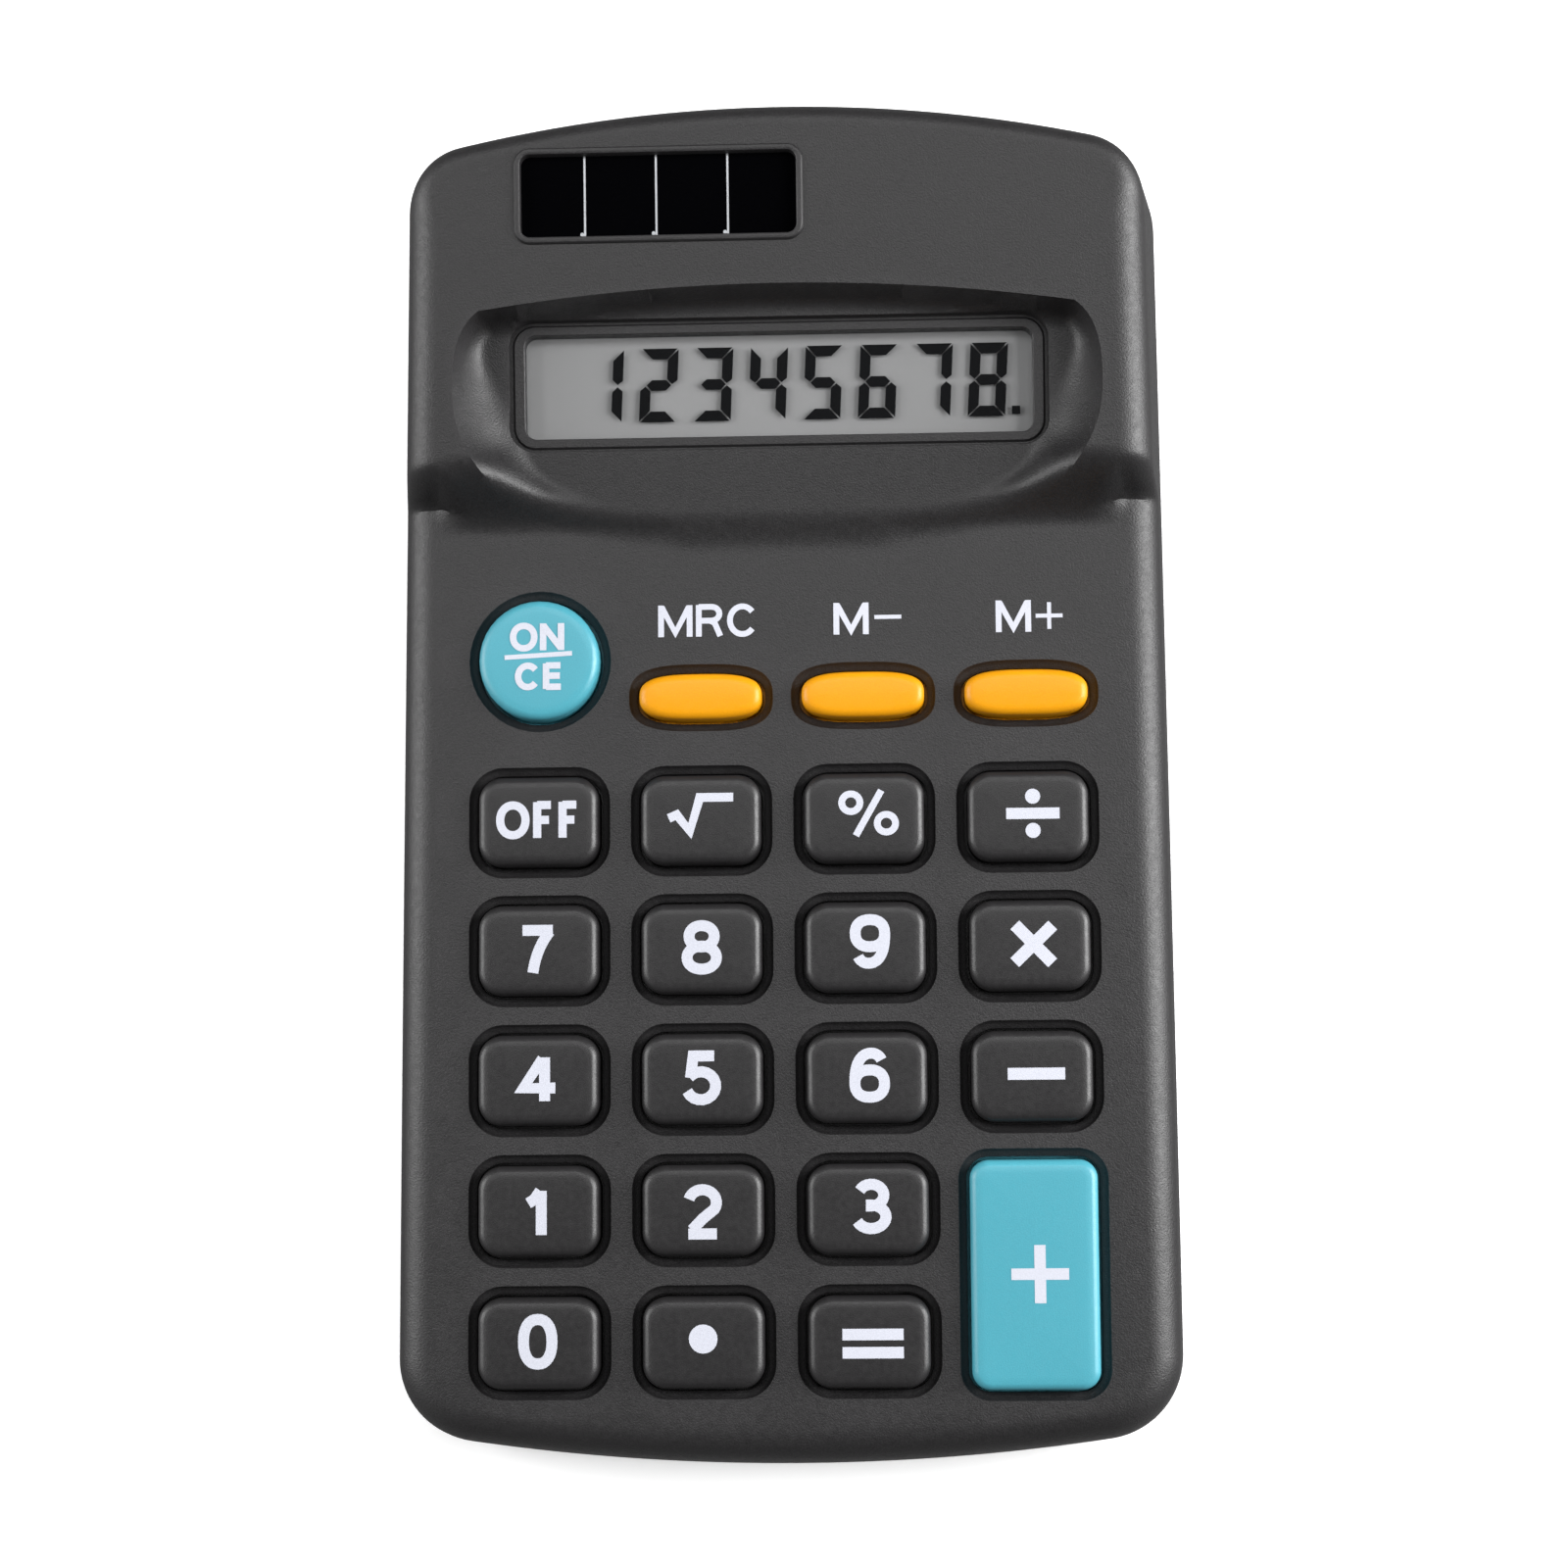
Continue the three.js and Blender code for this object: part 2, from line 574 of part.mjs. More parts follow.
// A hollow key with a flange that stops it under the deck, and a post that rests on its rubber dome.
function keycap(cap) {
  const top = DECK_HEIGHT + KEY_RISE;
  const body = extrude(capOutline(cap, 0), top - FLANGE_BOTTOM, FLANGE_BOTTOM, cap.facets);
  const flange = extrude(capOutline(cap, FLANGE_LIP), FLANGE_THICKNESS, FLANGE_BOTTOM, cap.facets);
  const inside = extrude(capOutline(cap, -KEY_SKIRT), top - KEY_SKIRT, 0, 1);
  const postRadius = Math.min(PLUNGER_RADIUS, cap.height / 2 - KEY_SKIRT) - 0.1;
  const post = pillar(postRadius, PLUNGER_TOP, top - KEY_SKIRT / 2, 0, 0, 6);
  const shell = join([solidOf(body), solidOf(flange)]).subtract(solidOf(inside));
  return geometryOf(shell.add(solidOf(post)));
}

// An upright cone with its point cut off, six-sided.
function frustum(lowRadius, highRadius, low, high) {
  return new THREE.CylinderGeometry(highRadius, lowRadius, high - low, 6)
    .rotateX(Math.PI / 2)
    .translate(0, 0, (low + high) / 2);
}

// One rubber sheet with a hollow dome under every key.
function keypadMat() {
  const sheetTop = BOARD_TOP + MAT_THICKNESS;
  const sheet = block([-MAT_HALF_WIDTH, BOARD_FOOT_Y, BOARD_TOP], [MAT_HALF_WIDTH, MAT_HEAD_Y, sheetTop]);
  const dome = frustum(DOME_RADIUS, PLUNGER_RADIUS, sheetTop - 0.2, PLUNGER_TOP);
  const hollow = frustum(DOME_RADIUS - 0.1, PLUNGER_RADIUS - 0.6, BOARD_TOP - 1, PLUNGER_TOP - 0.9);
  const under = (geometry) => KEYS.map(({ x, y }) => solidOf(geometry.clone().translate(x, y, 0)));
  return geometryOf(cut(join([solidOf(sheet), ...under(dome)]), under(hollow)));
}

function circuitBoard() {
  const foot = [-BOARD_HALF_WIDTH, BOARD_FOOT_Y, BOARD_BOTTOM];
  const board = block(foot, [BOARD_HALF_WIDTH, BOARD_HEAD_Y, BOARD_TOP]);
  const holeRadius = SCREW_RADIUS + 0.1;
  const holes = BOARD_SCREWS.map(({ x, y }) => {
    // the screws pass through slots that are open to the board's edge
    const far = Math.sign(x) * (BOARD_HALF_WIDTH + 1);
    const slot = block([Math.min(x, far), y - holeRadius, 0], [Math.max(x, far), y + holeRadius, TALL]);
    return solidOf(pillar(holeRadius, 0, TALL, x, y)).add(solidOf(slot));
  });
  return geometryOf(cut(solidOf(board), holes));
}

// A drop of resin over the bare chip, on the back of the board.
function chipBlob() {
  const { radius, height, x, y } = CHIP;
  return turned([
    [0, BOARD_BOTTOM - height],
    [radius * 0.48, BOARD_BOTTOM - height * 0.9],
    [radius * 0.84, BOARD_BOTTOM - height * 0.5],
    [radius, BOARD_BOTTOM],
    [0, BOARD_BOTTOM],
  ]).translate(x, y, 0);
}

// A pan-head screw that points up, with a cross recess in its head.
function screw({ headRadius, headHeight, length }) {
  const pin = turned(
    [
      [0, -headHeight],
      [headRadius * 0.8, -headHeight],
      [headRadius, -headHeight * 0.4],
      [headRadius, 0],
      [SCREW_RADIUS, 0],
      [SCREW_RADIUS, length - 0.8],
      [0.25, length],
      [0, length],
    ],
    8,
  );
  const arm = headRadius * 0.6;
  const halfSlot = 0.2;
  const slotTop = -headHeight * 0.4;
  const slots = [
    block([-arm, -halfSlot, -2 * headHeight], [arm, halfSlot, slotTop]),
    block([-halfSlot, -arm, -2 * headHeight], [halfSlot, arm, slotTop]),
  ];
  return geometryOf(cut(solidOf(pin), slots.map(solidOf)));
}

// ---------------------------------------------------------------- pieces: display and solar cell

// The heights of the display's layers below the scooped face.
const WINDOW_TOP = -RECESS.depth - OPENING_LIP - FIT_GAP;
const PANEL_TOP = WINDOW_TOP - WINDOW.thickness - FIT_GAP;
const PANEL_BOTTOM = PANEL_TOP - PANEL.thickness;

function displayWindow() {
  return extrude(roundedRectangle(WINDOW.width, WINDOW.height, 0.6), WINDOW.thickness, 0, 2);
}

// Two glass plates: the front one runs past the rear one on the key side, where its contacts are.
function displayPanel() {
  const right = PANEL.width / 2;
  const front = block([-right, -PANEL.foot, PANEL.thickness / 2], [right, PANEL.head, PANEL.thickness]);
  const rear = block([-right, PANEL.ledge - PANEL.foot, 0], [right, PANEL.head, PANEL.thickness / 2]);
  return geometryOf(join([solidOf(front), solidOf(rear)]));
}

// A strip of foam that presses the panel up against its window.
function displayPad() {
  return block([-PAD.halfWidth, PAD.foot, 0], [PAD.halfWidth, PAD.head, PAD.thickness]);
}

// The bonded film that carries the display's contacts down to the board.
function displayRibbon() {
  const { width, thickness } = RIBBON;
  const ledge = new THREE.Vector3(0, -PANEL.foot, PANEL_TOP - PANEL.thickness / 2 - FIT_GAP - thickness / 2);
  const end = ledge.applyMatrix4(displayPlace);
  const boardLine = BOARD_TOP + thickness / 2;
  const line = [
    [BOARD_HEAD_Y - 4, boardLine],
    [BOARD_HEAD_Y - 1.5, boardLine],
    [BOARD_HEAD_Y + 0.8, boardLine + 0.6],
    [BOARD_HEAD_Y + 2, end.z - 1.6],
    [end.y - 0.2, end.z - 0.25],
    [end.y + 1.4, end.z + 1.6 * Math.tan(DISPLAY_TILT) - 0.05],
  ];
  return extrudeAcross(bentStrip(line, thickness), width);
}

function solarCell() {
  const plate = roundedRectangle(SOLAR.width + 2 * SOLAR_LIP, SOLAR.height + 2 * SOLAR_LIP, 0.3);
  return extrude(plate, SOLAR.thickness, 0, 1);
}

// ---------------------------------------------------------------- pieces: battery circuit

function batteryCell() {
  const { radius, length, nub, nubRadius } = CELL;
  const can = length - nub;
  return turned(
    [
      [0, 0],
      [radius - 0.5, 0],
      [radius, 0.5],
      [radius, can - 0.5],
      [radius - 0.5, can],
      [nubRadius, can],
      [nubRadius, length],
      [0, length],
    ],
    24,
  )
    .rotateY(Math.PI / 2)
    .translate(-length / 2, 0, 0);
}

// A cone-shaped coil between the bay's end wall and the flat end of the battery.
function batterySpring() {
  const { wire, turns, wide, narrow, gap } = SPRING;
  const span = BAY_HALF_LENGTH - CELL.length / 2 - 2 * wire - 2 * gap;
  const count = 9 * turns;
  const points = Array.from({ length: count + 1 }, (_, i) => {
    const share = i / count;
    const angle = 2 * Math.PI * turns * share;
    const radius = wide + (narrow - wide) * share;
    return [-BAY_HALF_LENGTH + wire + gap + span * share, radius * Math.cos(angle), radius * Math.sin(angle)];
  });
  return wireAlong(points, wire, count);
}

// A springy leaf bent to a point that presses on the battery's nub.
function positiveContact() {
  const { width, thickness, foot, reach, gap } = LEAF;
  const wall = BAY_HALF_LENGTH - thickness / 2 - gap;
  const tip = CELL.length / 2 + thickness;
  const leaf = bentStrip(
    [
      [wall, -reach],
      [wall, -foot],
      [tip, 0],
      [wall, foot],
      [wall, reach],
    ],
    thickness,
  );
  // drawn in (X, Z), then given its width along Y
  return extrude(leaf, width, -width / 2).rotateX(Math.PI / 2);
}

const LEAD_RADIUS = 0.4;
const LEAD_X = BAY_HALF_LENGTH + BAY.wall + LEAD_RADIUS;

// From the outside of the bay's end wall down to the back of the board.
function batteryLead(side) {
  const points = [
    [side * LEAD_X, CELL.y - 3, 8.4],
    [side * LEAD_X, CELL.y - 7, 7],
    [side * LEAD_X, 91, 3.6],
    [side * (LEAD_X + 0.3), 86, 2.8],
    [side * (LEAD_X - 1), 80.5, 2.8],
    [side * (LEAD_X - 1.4), 79.2, BOARD_BOTTOM - 0.8],
    [side * (LEAD_X - 1.4), 79.2, BOARD_BOTTOM - 0.05],
  ];
  return wireAlong(points, LEAD_RADIUS, 14);
}

// The solar cell's leads pass the end of the battery, one over the bay's end wall and one over its foot wall,
// and come down to the front of the board.
const SOLAR_LEADS = {
  positive: [
    [-19.1, 110.2, 16.5],
    [-23, 110.2, 16.3],
    [-26.2, 109.6, 15.7],
    [-27.4, 106.5, 14.5],
    [-27.8, 101.9, 11.8],
    [-28.7, 98.1, 11],
    [-LEAD_X, 92.5, 9.9],
    [-LEAD_X, 86, 9.3],
    [-27.4, 80.8, 8.4],
    [-27, 79.2, BOARD_TOP + 0.9],
    [-27, 79.2, BOARD_TOP + 0.05],
  ],
  negative: [
    [-19.1, 108.4, 16.3],
    [-23, 109, 15.95],
    [-26.2, 108, 14.75],
    [-26.5, 104.9, 13.7],
    [-26.6, 99.8, 11.2],
    [-27.2, 96.3, 9.3],
    [-LEAD_X, 90.5, 8.4],
    [-LEAD_X, 86, 8],
    [-25.6, 80.8, 7.6],
    [-25, 79.2, BOARD_TOP + 0.9],
    [-25, 79.2, BOARD_TOP + 0.05],
  ],
};

// ---------------------------------------------------------------- materials

const plastic = (color, roughness) => new THREE.MeshStandardMaterial({ color, roughness, metalness: 0 });
const metal = (color, roughness) => new THREE.MeshStandardMaterial({ color, roughness, metalness: 1 });

// ---------------------------------------------------------------- assembly

const bench = new THREE.Group(); // drawn with Y = 0 at the foot edge
bench.position.y = -LENGTH / 2;

function add(group, name, geometry, material) {
  const mesh = new THREE.Mesh(geometry, material);
  mesh.name = name;
  group.add(mesh);
  return mesh;
}

const displayGroup = new THREE.Group();
displayGroup.applyMatrix4(displayPlace);
const solarGroup = new THREE.Group();
solarGroup.applyMatrix4(solarPlace);
const batteryGroup = new THREE.Group();
batteryGroup.position.set(0, CELL.y, CELL.height);
bench.add(displayGroup, solarGroup, batteryGroup);

add(bench, "front_case", frontCase(), plastic(0x424043, 0.6));
add(bench, "rear_case", rearCase(), plastic(0x3c3a3d, 0.65));
add(bench, "battery_door", batteryDoor(), plastic(0x3c3a3d, 0.65));

for (const { name, x, y, cap, colour } of KEYS) {
  add(bench, name, keycap(cap), plastic(colour, 0.5)).position.set(x, y, 0);
}

add(bench, "keypad_mat", keypadMat(), plastic(0x8f9094, 0.8));
add(bench, "circuit_board", circuitBoard(), plastic(0x2f6b3c, 0.5));
add(bench, "chip_blob", chipBlob(), plastic(0x101010, 0.3));

CASE_SCREWS.forEach(({ x, y }, i) => {
  const name = `case_screw_${i + 1}`;
  add(bench, name, screw(CASE_SCREW), metal(0xb8b8bc, 0.35)).position.set(x, y, CASE_SCREW_SEAT);
});
BOARD_SCREWS.forEach(({ x, y }, i) => {
  const name = `board_screw_${i + 1}`;
  add(bench, name, screw(BOARD_SCREW), metal(0xb8b8bc, 0.35)).position.set(x, y, BOARD_BOTTOM);
});

add(displayGroup, "display_window", displayWindow(), plastic(0xe8eef0, 0.05)).position.z =
  WINDOW_TOP - WINDOW.thickness;
add(displayGroup, "display_panel", displayPanel(), plastic(0x9a9c98, 0.2)).position.z = PANEL_BOTTOM;
add(displayGroup, "display_pad", displayPad(), plastic(0x2a2a2c, 0.95)).position.z =
  PANEL_BOTTOM - FIT_GAP - PAD.thickness;
add(bench, "display_ribbon", displayRibbon(), plastic(0xb9a27a, 0.4));
add(solarGroup, "solar_cell", solarCell(), plastic(0x0b0b0d, 0.15)).position.z =
  -SOLAR.depth - FIT_GAP - SOLAR.thickness;

add(batteryGroup, "battery_cell", batteryCell(), plastic(0x2d4a7a, 0.3));
add(batteryGroup, "battery_spring", batterySpring(), metal(0xc9c9cc, 0.3));
add(batteryGroup, "battery_contact", positiveContact(), metal(0xc9c9cc, 0.3));
add(bench, "battery_lead_positive", batteryLead(1), plastic(0xb3261e, 0.5));
add(bench, "battery_lead_negative", batteryLead(-1), plastic(0x151515, 0.5));
add(bench, "solar_lead_positive", wireAlong(SOLAR_LEADS.positive, LEAD_RADIUS, 20), plastic(0xb3261e, 0.5));
add(bench, "solar_lead_negative", wireAlong(SOLAR_LEADS.negative, LEAD_RADIUS, 20), plastic(0x151515, 0.5));

const calculator = new THREE.Group();
calculator.add(bench);

export default calculator;
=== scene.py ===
import json
import math

import bmesh
import bpy
import numpy as np
from mathutils import Matrix, Vector
from mathutils.geometry import delaunay_2d_cdt

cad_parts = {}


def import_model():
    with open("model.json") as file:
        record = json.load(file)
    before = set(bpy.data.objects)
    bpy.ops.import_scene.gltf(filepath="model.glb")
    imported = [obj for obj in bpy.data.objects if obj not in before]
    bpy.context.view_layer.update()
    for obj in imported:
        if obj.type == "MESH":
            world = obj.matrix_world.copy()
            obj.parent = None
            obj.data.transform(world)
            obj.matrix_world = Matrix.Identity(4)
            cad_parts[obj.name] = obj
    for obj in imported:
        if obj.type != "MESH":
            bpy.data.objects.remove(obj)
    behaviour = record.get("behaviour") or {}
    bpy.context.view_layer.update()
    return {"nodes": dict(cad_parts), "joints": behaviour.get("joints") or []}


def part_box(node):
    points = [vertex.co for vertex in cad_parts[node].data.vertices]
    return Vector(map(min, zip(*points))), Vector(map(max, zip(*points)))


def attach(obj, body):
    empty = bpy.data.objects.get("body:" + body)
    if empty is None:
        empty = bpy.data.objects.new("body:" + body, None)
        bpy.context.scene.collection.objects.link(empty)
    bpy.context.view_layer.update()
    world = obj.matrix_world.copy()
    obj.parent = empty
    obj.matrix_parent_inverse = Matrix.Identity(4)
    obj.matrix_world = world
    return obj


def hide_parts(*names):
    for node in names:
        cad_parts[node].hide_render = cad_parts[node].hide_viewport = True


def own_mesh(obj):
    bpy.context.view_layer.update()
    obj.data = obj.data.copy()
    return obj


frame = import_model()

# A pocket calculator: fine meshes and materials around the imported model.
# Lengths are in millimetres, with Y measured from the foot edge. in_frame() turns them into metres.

MM = 0.001
FOOT_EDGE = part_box("front_case")[0].y


def span(node):
    """Lowest and highest corner of a CAD node in millimetres, with Y measured from the foot edge."""
    return [np.array((corner.x, corner.y - FOOT_EDGE, corner.z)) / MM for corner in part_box(node)]


# ---- sizes

CASE_LOW, CASE_HIGH = span("front_case")
KEY_LOW, KEY_HIGH = span("key_5")
DOOR_LOW, DOOR_HIGH = span("battery_door")
DOOR_HINGE = next(joint for joint in frame["joints"] if joint["child"] == "battery_door")

# Case outline, seen from the front
LENGTH = CASE_HIGH[1]
FOOT_HALF_WIDTH = CASE_HIGH[0]
HEAD_HALF_WIDTH = FOOT_HALF_WIDTH - 0.6
FOOT_CORNER_Y = 9.0
HEAD_CORNER_Y = LENGTH - 10
SIDE_FINE = (76, 90)  # where the hump rises, and the long sides' points are closer together
SIDE_BULGE = 0.05  # the long sides are very slightly rounded outwards
CORNER_RADIUS = 7.2
FOOT_ARC_RADIUS = 190.0
HEAD_ARC_RADIUS = 125.0

# Case heights
PARTING = CASE_LOW[2]
KEY_TOP = KEY_HIGH[2]
KEY_RISE = 1.4
DECK = KEY_TOP - KEY_RISE
SIDE_DRAFT = 2.0 / 14.0  # how far the walls lean in for each millimetre of height
TOP_PLATE = 1.8
FLOOR_PLATE = 1.5
WALL = 1.5
BACK_ROUND = 1.3
EDGE_ROUND = 2.8
HEAD_EDGE_ROUND = 1.5

# Hump, hood and the scooped face around the display
STEP_FOOT_Y = 80.6
STEP_HEAD_Y = 83.6
SOFT_STEP = (79.4, 85.2)  # the same step away from the long sides, where it is a soft hollow curve
STEP_SHARPENS = (26.0, 30.5)  # half widths between which the soft step turns into the sharp one
STEP_BEND = 1.3  # how far the step's ends bend towards the head over the same widths
CURVED_FROM = 76.5  # the face is flat from here to the foot
STEP_CREASE_END = 28.7  # the crease at the step's foot stops short of the rounded edge
RIDGE_Y = LENGTH - 17.0
RIDGE_HEIGHT = 18.1
HUMP_SLOPE = math.tan(math.radians(5))
SCOOP_FOOT_HEIGHT = 12.1
SCOOP_SLOPE = math.tan(math.radians(7.4))
FLOOR_FADE = (77.6, 80.9)  # the scooped floor runs out into the deck between these two lines
SCOOP_SIDE = 27.5
SCOOP_SIDE_Y = 90.6
SHOULDER = (25.2, RIDGE_Y - 1.9)
HOOD_WALL = 1.3  # width of the scoop's wall, seen from the front
SIDE_WALL = 5.2
MOUTH_WALL = 3.4

# Display
DISPLAY_Y = LENGTH - 24.5
RECESS = (46.3, 11.3, 2.2)  # width, height, corner radius
RECESS_DEPTH = 0.5
OPENING = (43.6, 8.9, 1.0)
OPENING_LIP = 0.45
DIGIT_PITCH = 4.72
DIGIT_WIDTH = 3.2
DIGIT_HEIGHT = 6.25
DIGIT_STROKE = 0.9
DIGIT_FOOT = DISPLAY_Y - 2.85
DIGIT_RIGHT = 19.4

# Solar cell
SOLAR_LOW, SOLAR_HIGH = span("solar_cell")
SOLAR_LIP = 0.15
SOLAR_X, SOLAR_Y = (SOLAR_LOW + SOLAR_HIGH)[:2] / 2
SOLAR_SIZE = (SOLAR_HIGH[0] - SOLAR_LOW[0] - 2 * SOLAR_LIP, 7.0, 0.8)
STRIP_WIDTH = SOLAR_SIZE[0] / 3.85
STRIP_SHIFT = -0.2  # the middle line is a little left of the cell's middle
SOLAR_RIM = 0.6
SOLAR_RISE = 0.3
SOLAR_DEPTH = 0.62  # of the cell's face below the hump

# Keys: the CAD flange is wider than the cap, and the well around it wider still
FLANGE_LIP = 0.9
FLANGE_TOP = DECK - TOP_PLATE - 0.1
FLANGE_BOTTOM = KEY_LOW[2] + 0.2
WELL_LIP = 0.95
HOLE_LIP = 0.27
KEY_SKIRT = 1.1  # thickness of a cap's top and walls
CAP_ROUND = 0.75
CAP_CROWN = 0.05


def key_plan(node):
    """Middle and size of a key's cap."""
    low, high = span(node)
    middle = (low + high)[:2] / 2
    width, height = (high - low)[:2] - 2 * FLANGE_LIP
    return middle, width, height


KEY_NODES = [name for name in frame["nodes"] if name.startswith("key_")]
MEMORY_KEYS = ["key_memory_recall", "key_memory_minus", "key_memory_plus"]
MEMORY_KEY_POWERS = (0.62, 0.72)  # how far their outline is from an ellipse, across and along


def cap_radius(node, height):
    """Corner radius of a cap's outline."""
    if node == "key_on_clear":
        return height / 2 - 0.02
    return 1.6 if node == "key_plus" else 2.0


# ---- outlines


def arc(x, y, reach_x, reach_y, start, end, steps=16):
    """Points along part of an ellipse, with angles in degrees."""
    angles = [math.radians(start + (end - start) * step / steps) for step in range(steps + 1)]
    return [(x + reach_x * math.cos(angle), y + reach_y * math.sin(angle)) for angle in angles]


def disc(x, y, radius, steps=28):
    return arc(x, y, radius, radius, 0, 360, steps)[:-1]


def rounded_rectangle(width, height, radius, corner_steps=10, side_steps=6):
    """Points of a rounded rectangle about the origin, anticlockwise from the right of its lower side."""
    across, up = width / 2 - radius, height / 2 - radius
    turns = [(across, -up, -90), (across, up, 0), (-across, up, 90), (-across, -up, 180)]
    corners = [arc(x, y, radius, radius, start, start + 90, corner_steps) for x, y, start in turns]
    points = []
    for corner, after in zip(corners, corners[1:] + corners[:1]):
        points += [*corner, *np.linspace(corner[-1], after[0], side_steps + 1)[1:-1]]
    return np.array(points)


def superellipse(reach_x, reach_y, power_x, power_y, steps):
    """Points of a closed loop about the origin, squarer than an ellipse where its powers are under 1."""
    angles = 2 * math.pi * np.arange(steps) / steps
    across, up = np.cos(angles), np.sin(angles)
    x = reach_x * np.copysign(abs(across) ** power_x, across)
    return np.column_stack((x, reach_y * np.copysign(abs(up) ** power_y, up)))


def grown(width, height, radius, grow):
    """A rounded rectangle's measures after its edge moves out by grow."""
    return width + 2 * grow, height + 2 * grow, max(radius + grow, 0.05)


def cap_outline(node, grow):
    """A key's outline seen from the front, with its edge moved out by grow."""
    middle, width, height = key_plan(node)
    if node in MEMORY_KEYS:
        return middle + superellipse(width / 2 + grow, height / 2 + grow, *MEMORY_KEY_POWERS, 64)
    return middle + rounded_rectangle(*grown(width, height, cap_radius(node, height), grow))


def case_outline():
    """Points round the case seen from the front, anticlockwise, and the outward direction at each."""
    taper = math.atan((FOOT_HALF_WIDTH - HEAD_HALF_WIDTH) / (HEAD_CORNER_Y - FOOT_CORNER_Y))

    def corner(centre_y, arc_radius, direction):
        reach = arc_radius - CORNER_RADIUS
        x, y = 0.0, centre_y + direction * reach
        for _ in range(6):
            half_width = FOOT_HALF_WIDTH - (y - FOOT_CORNER_Y) * math.tan(taper)
            x = half_width - CORNER_RADIUS / math.cos(taper)
            y = centre_y + direction * math.sqrt(reach**2 - x**2)
        return x, y

    foot_centre, head_centre = FOOT_ARC_RADIUS, LENGTH - HEAD_ARC_RADIUS
    foot, head = corner(foot_centre, FOOT_ARC_RADIUS, -1), corner(head_centre, HEAD_ARC_RADIUS, 1)
    foot_angle = math.atan2(foot[1] - foot_centre, foot[0])
    head_angle = math.atan2(head[1] - head_centre, head[0])
    arcs = [
        (0, foot_centre, FOOT_ARC_RADIUS, -math.pi / 2, foot_angle, 30),
        (*foot, CORNER_RADIUS, foot_angle, taper, 18),
        (*head, CORNER_RADIUS, taper, head_angle, 18),
        (0, head_centre, HEAD_ARC_RADIUS, head_angle, math.pi / 2, 30),
    ]
    points, normals = [], []
    for index, (x, y, radius, start, end, steps) in enumerate(arcs):
        for step in range(steps + 1):
            angle = start + (end - start) * step / steps
            normals.append((math.cos(angle), math.sin(angle)))
            points.append((x + radius * normals[-1][0], y + radius * normals[-1][1]))
        if index == 1:  # the straight side
            x_low, y_low = points[-1]
            y_high = head[1] + CORNER_RADIUS * math.sin(taper)
            fine_low, fine_high = SIDE_FINE
            heights = [
                *np.arange(y_low + 1.5, fine_low, 1.5),
                *np.arange(fine_low, fine_high, 0.35),
                *np.arange(fine_high, y_high - 1, 1.5),
            ]
            for side_y in heights:
                share = (side_y - y_low) / (y_high - y_low)
                bulge = 4 * SIDE_BULGE * share * (1 - share)
                normals.append((math.cos(taper), math.sin(taper)))
                points.append((x_low - (side_y - y_low) * math.tan(taper) + bulge, side_y))
    keep = [0] + [i for i in range(1, len(points)) if math.dist(points[i], points[i - 1]) > 1e-6]
    right = np.array(points)[keep]
    right_normals = np.array(normals)[keep]
    flip = np.array((-1, 1))
    left = (right * flip)[::-1][1:-1]
    left_normals = (right_normals * flip)[::-1][1:-1]
    return np.vstack((right, left)), np.vstack((right_normals, left_normals))


OUTLINE, OUTWARD = case_outline()


def bezier(start, first, second, end, steps):
    """Points along a cubic curve, its end left out."""
    share = np.linspace(0, 1, steps, endpoint=False)[:, None]
    back = 1 - share
    ends = back**3 * np.array(start) + share**3 * np.array(end)
    return ends + 3 * back**2 * share * np.array(first) + 3 * back * share**2 * np.array(second)


def scoop_rim():
    """The rim of the scooped hollow, from its mouth up the left side, over the hood and down the right."""
    x_shoulder, y_shoulder = SHOULDER
    side_start = (-SCOOP_SIDE, SCOOP_SIDE_Y)
    shoulder = (-x_shoulder, y_shoulder)
    corner = (-SCOOP_SIDE, y_shoulder - 1.6)
    crown = 2 * RIDGE_Y - y_shoulder
    third = x_shoulder / 3
    left = [
        bezier((-11, FLOOR_FADE[0]), (-20, FLOOR_FADE[0] + 1.4), (-SCOOP_SIDE, 82.6), side_start, 44),
        bezier(side_start, (-SCOOP_SIDE, 92.5), corner, shoulder, 18),
        bezier(shoulder, (-third, crown - 0.9), (-third, crown - 0.9), (0, RIDGE_Y), 30),
    ]
    left = np.vstack(left)
    left[-30:, 1] = y_shoulder + (RIDGE_Y - y_shoulder) * (1 - (left[-30:, 0] / x_shoulder) ** 2)
    middle = np.array([(0, RIDGE_Y)])
    return np.vstack((left, middle, left[::-1] * np.array((-1, 1))))


SCOOP_RIM = scoop_rim()


def inside(points, polygon):
    """Which of the points lie inside a closed polygon."""
    x, y = points[:, 0:1], points[:, 1:2]
    x0, y0 = polygon[:, 0], polygon[:, 1]
    x1, y1 = np.roll(x0, -1), np.roll(y0, -1)
    rise = np.where(y1 == y0, 1e-12, y1 - y0)
    crosses = ((y0 > y) != (y1 > y)) & (x < (x1 - x0) * (y - y0) / rise + x0)
    return crosses.sum(axis=1) % 2 == 1


def nearest(points, line):
    """Distance from each point to an open line, and the height Y of the nearest place on it."""
    starts, steps = line[:-1], line[1:] - line[:-1]
    lengths = (steps**2).sum(axis=1)
    offset = points[:, None, :] - starts[None, :, :]
    share = np.clip((offset * steps).sum(axis=2) / lengths, 0, 1)
    gap = offset - share[:, :, None] * steps
    distance = np.sqrt((gap**2).sum(axis=2))
    best = distance.argmin(axis=1)
    row = np.arange(len(points))
    return distance[row, best], starts[best, 1] + share[row, best] * steps[best, 1]


# ---- heights of the front face


def smooth(share):
    share = np.clip(share, 0, 1)
    return share * share * (3 - 2 * share)


def ramp(value, limits):
    """0 at the first limit, rising smoothly to 1 at the second."""
    return smooth((value - limits[0]) / (limits[1] - limits[0]))


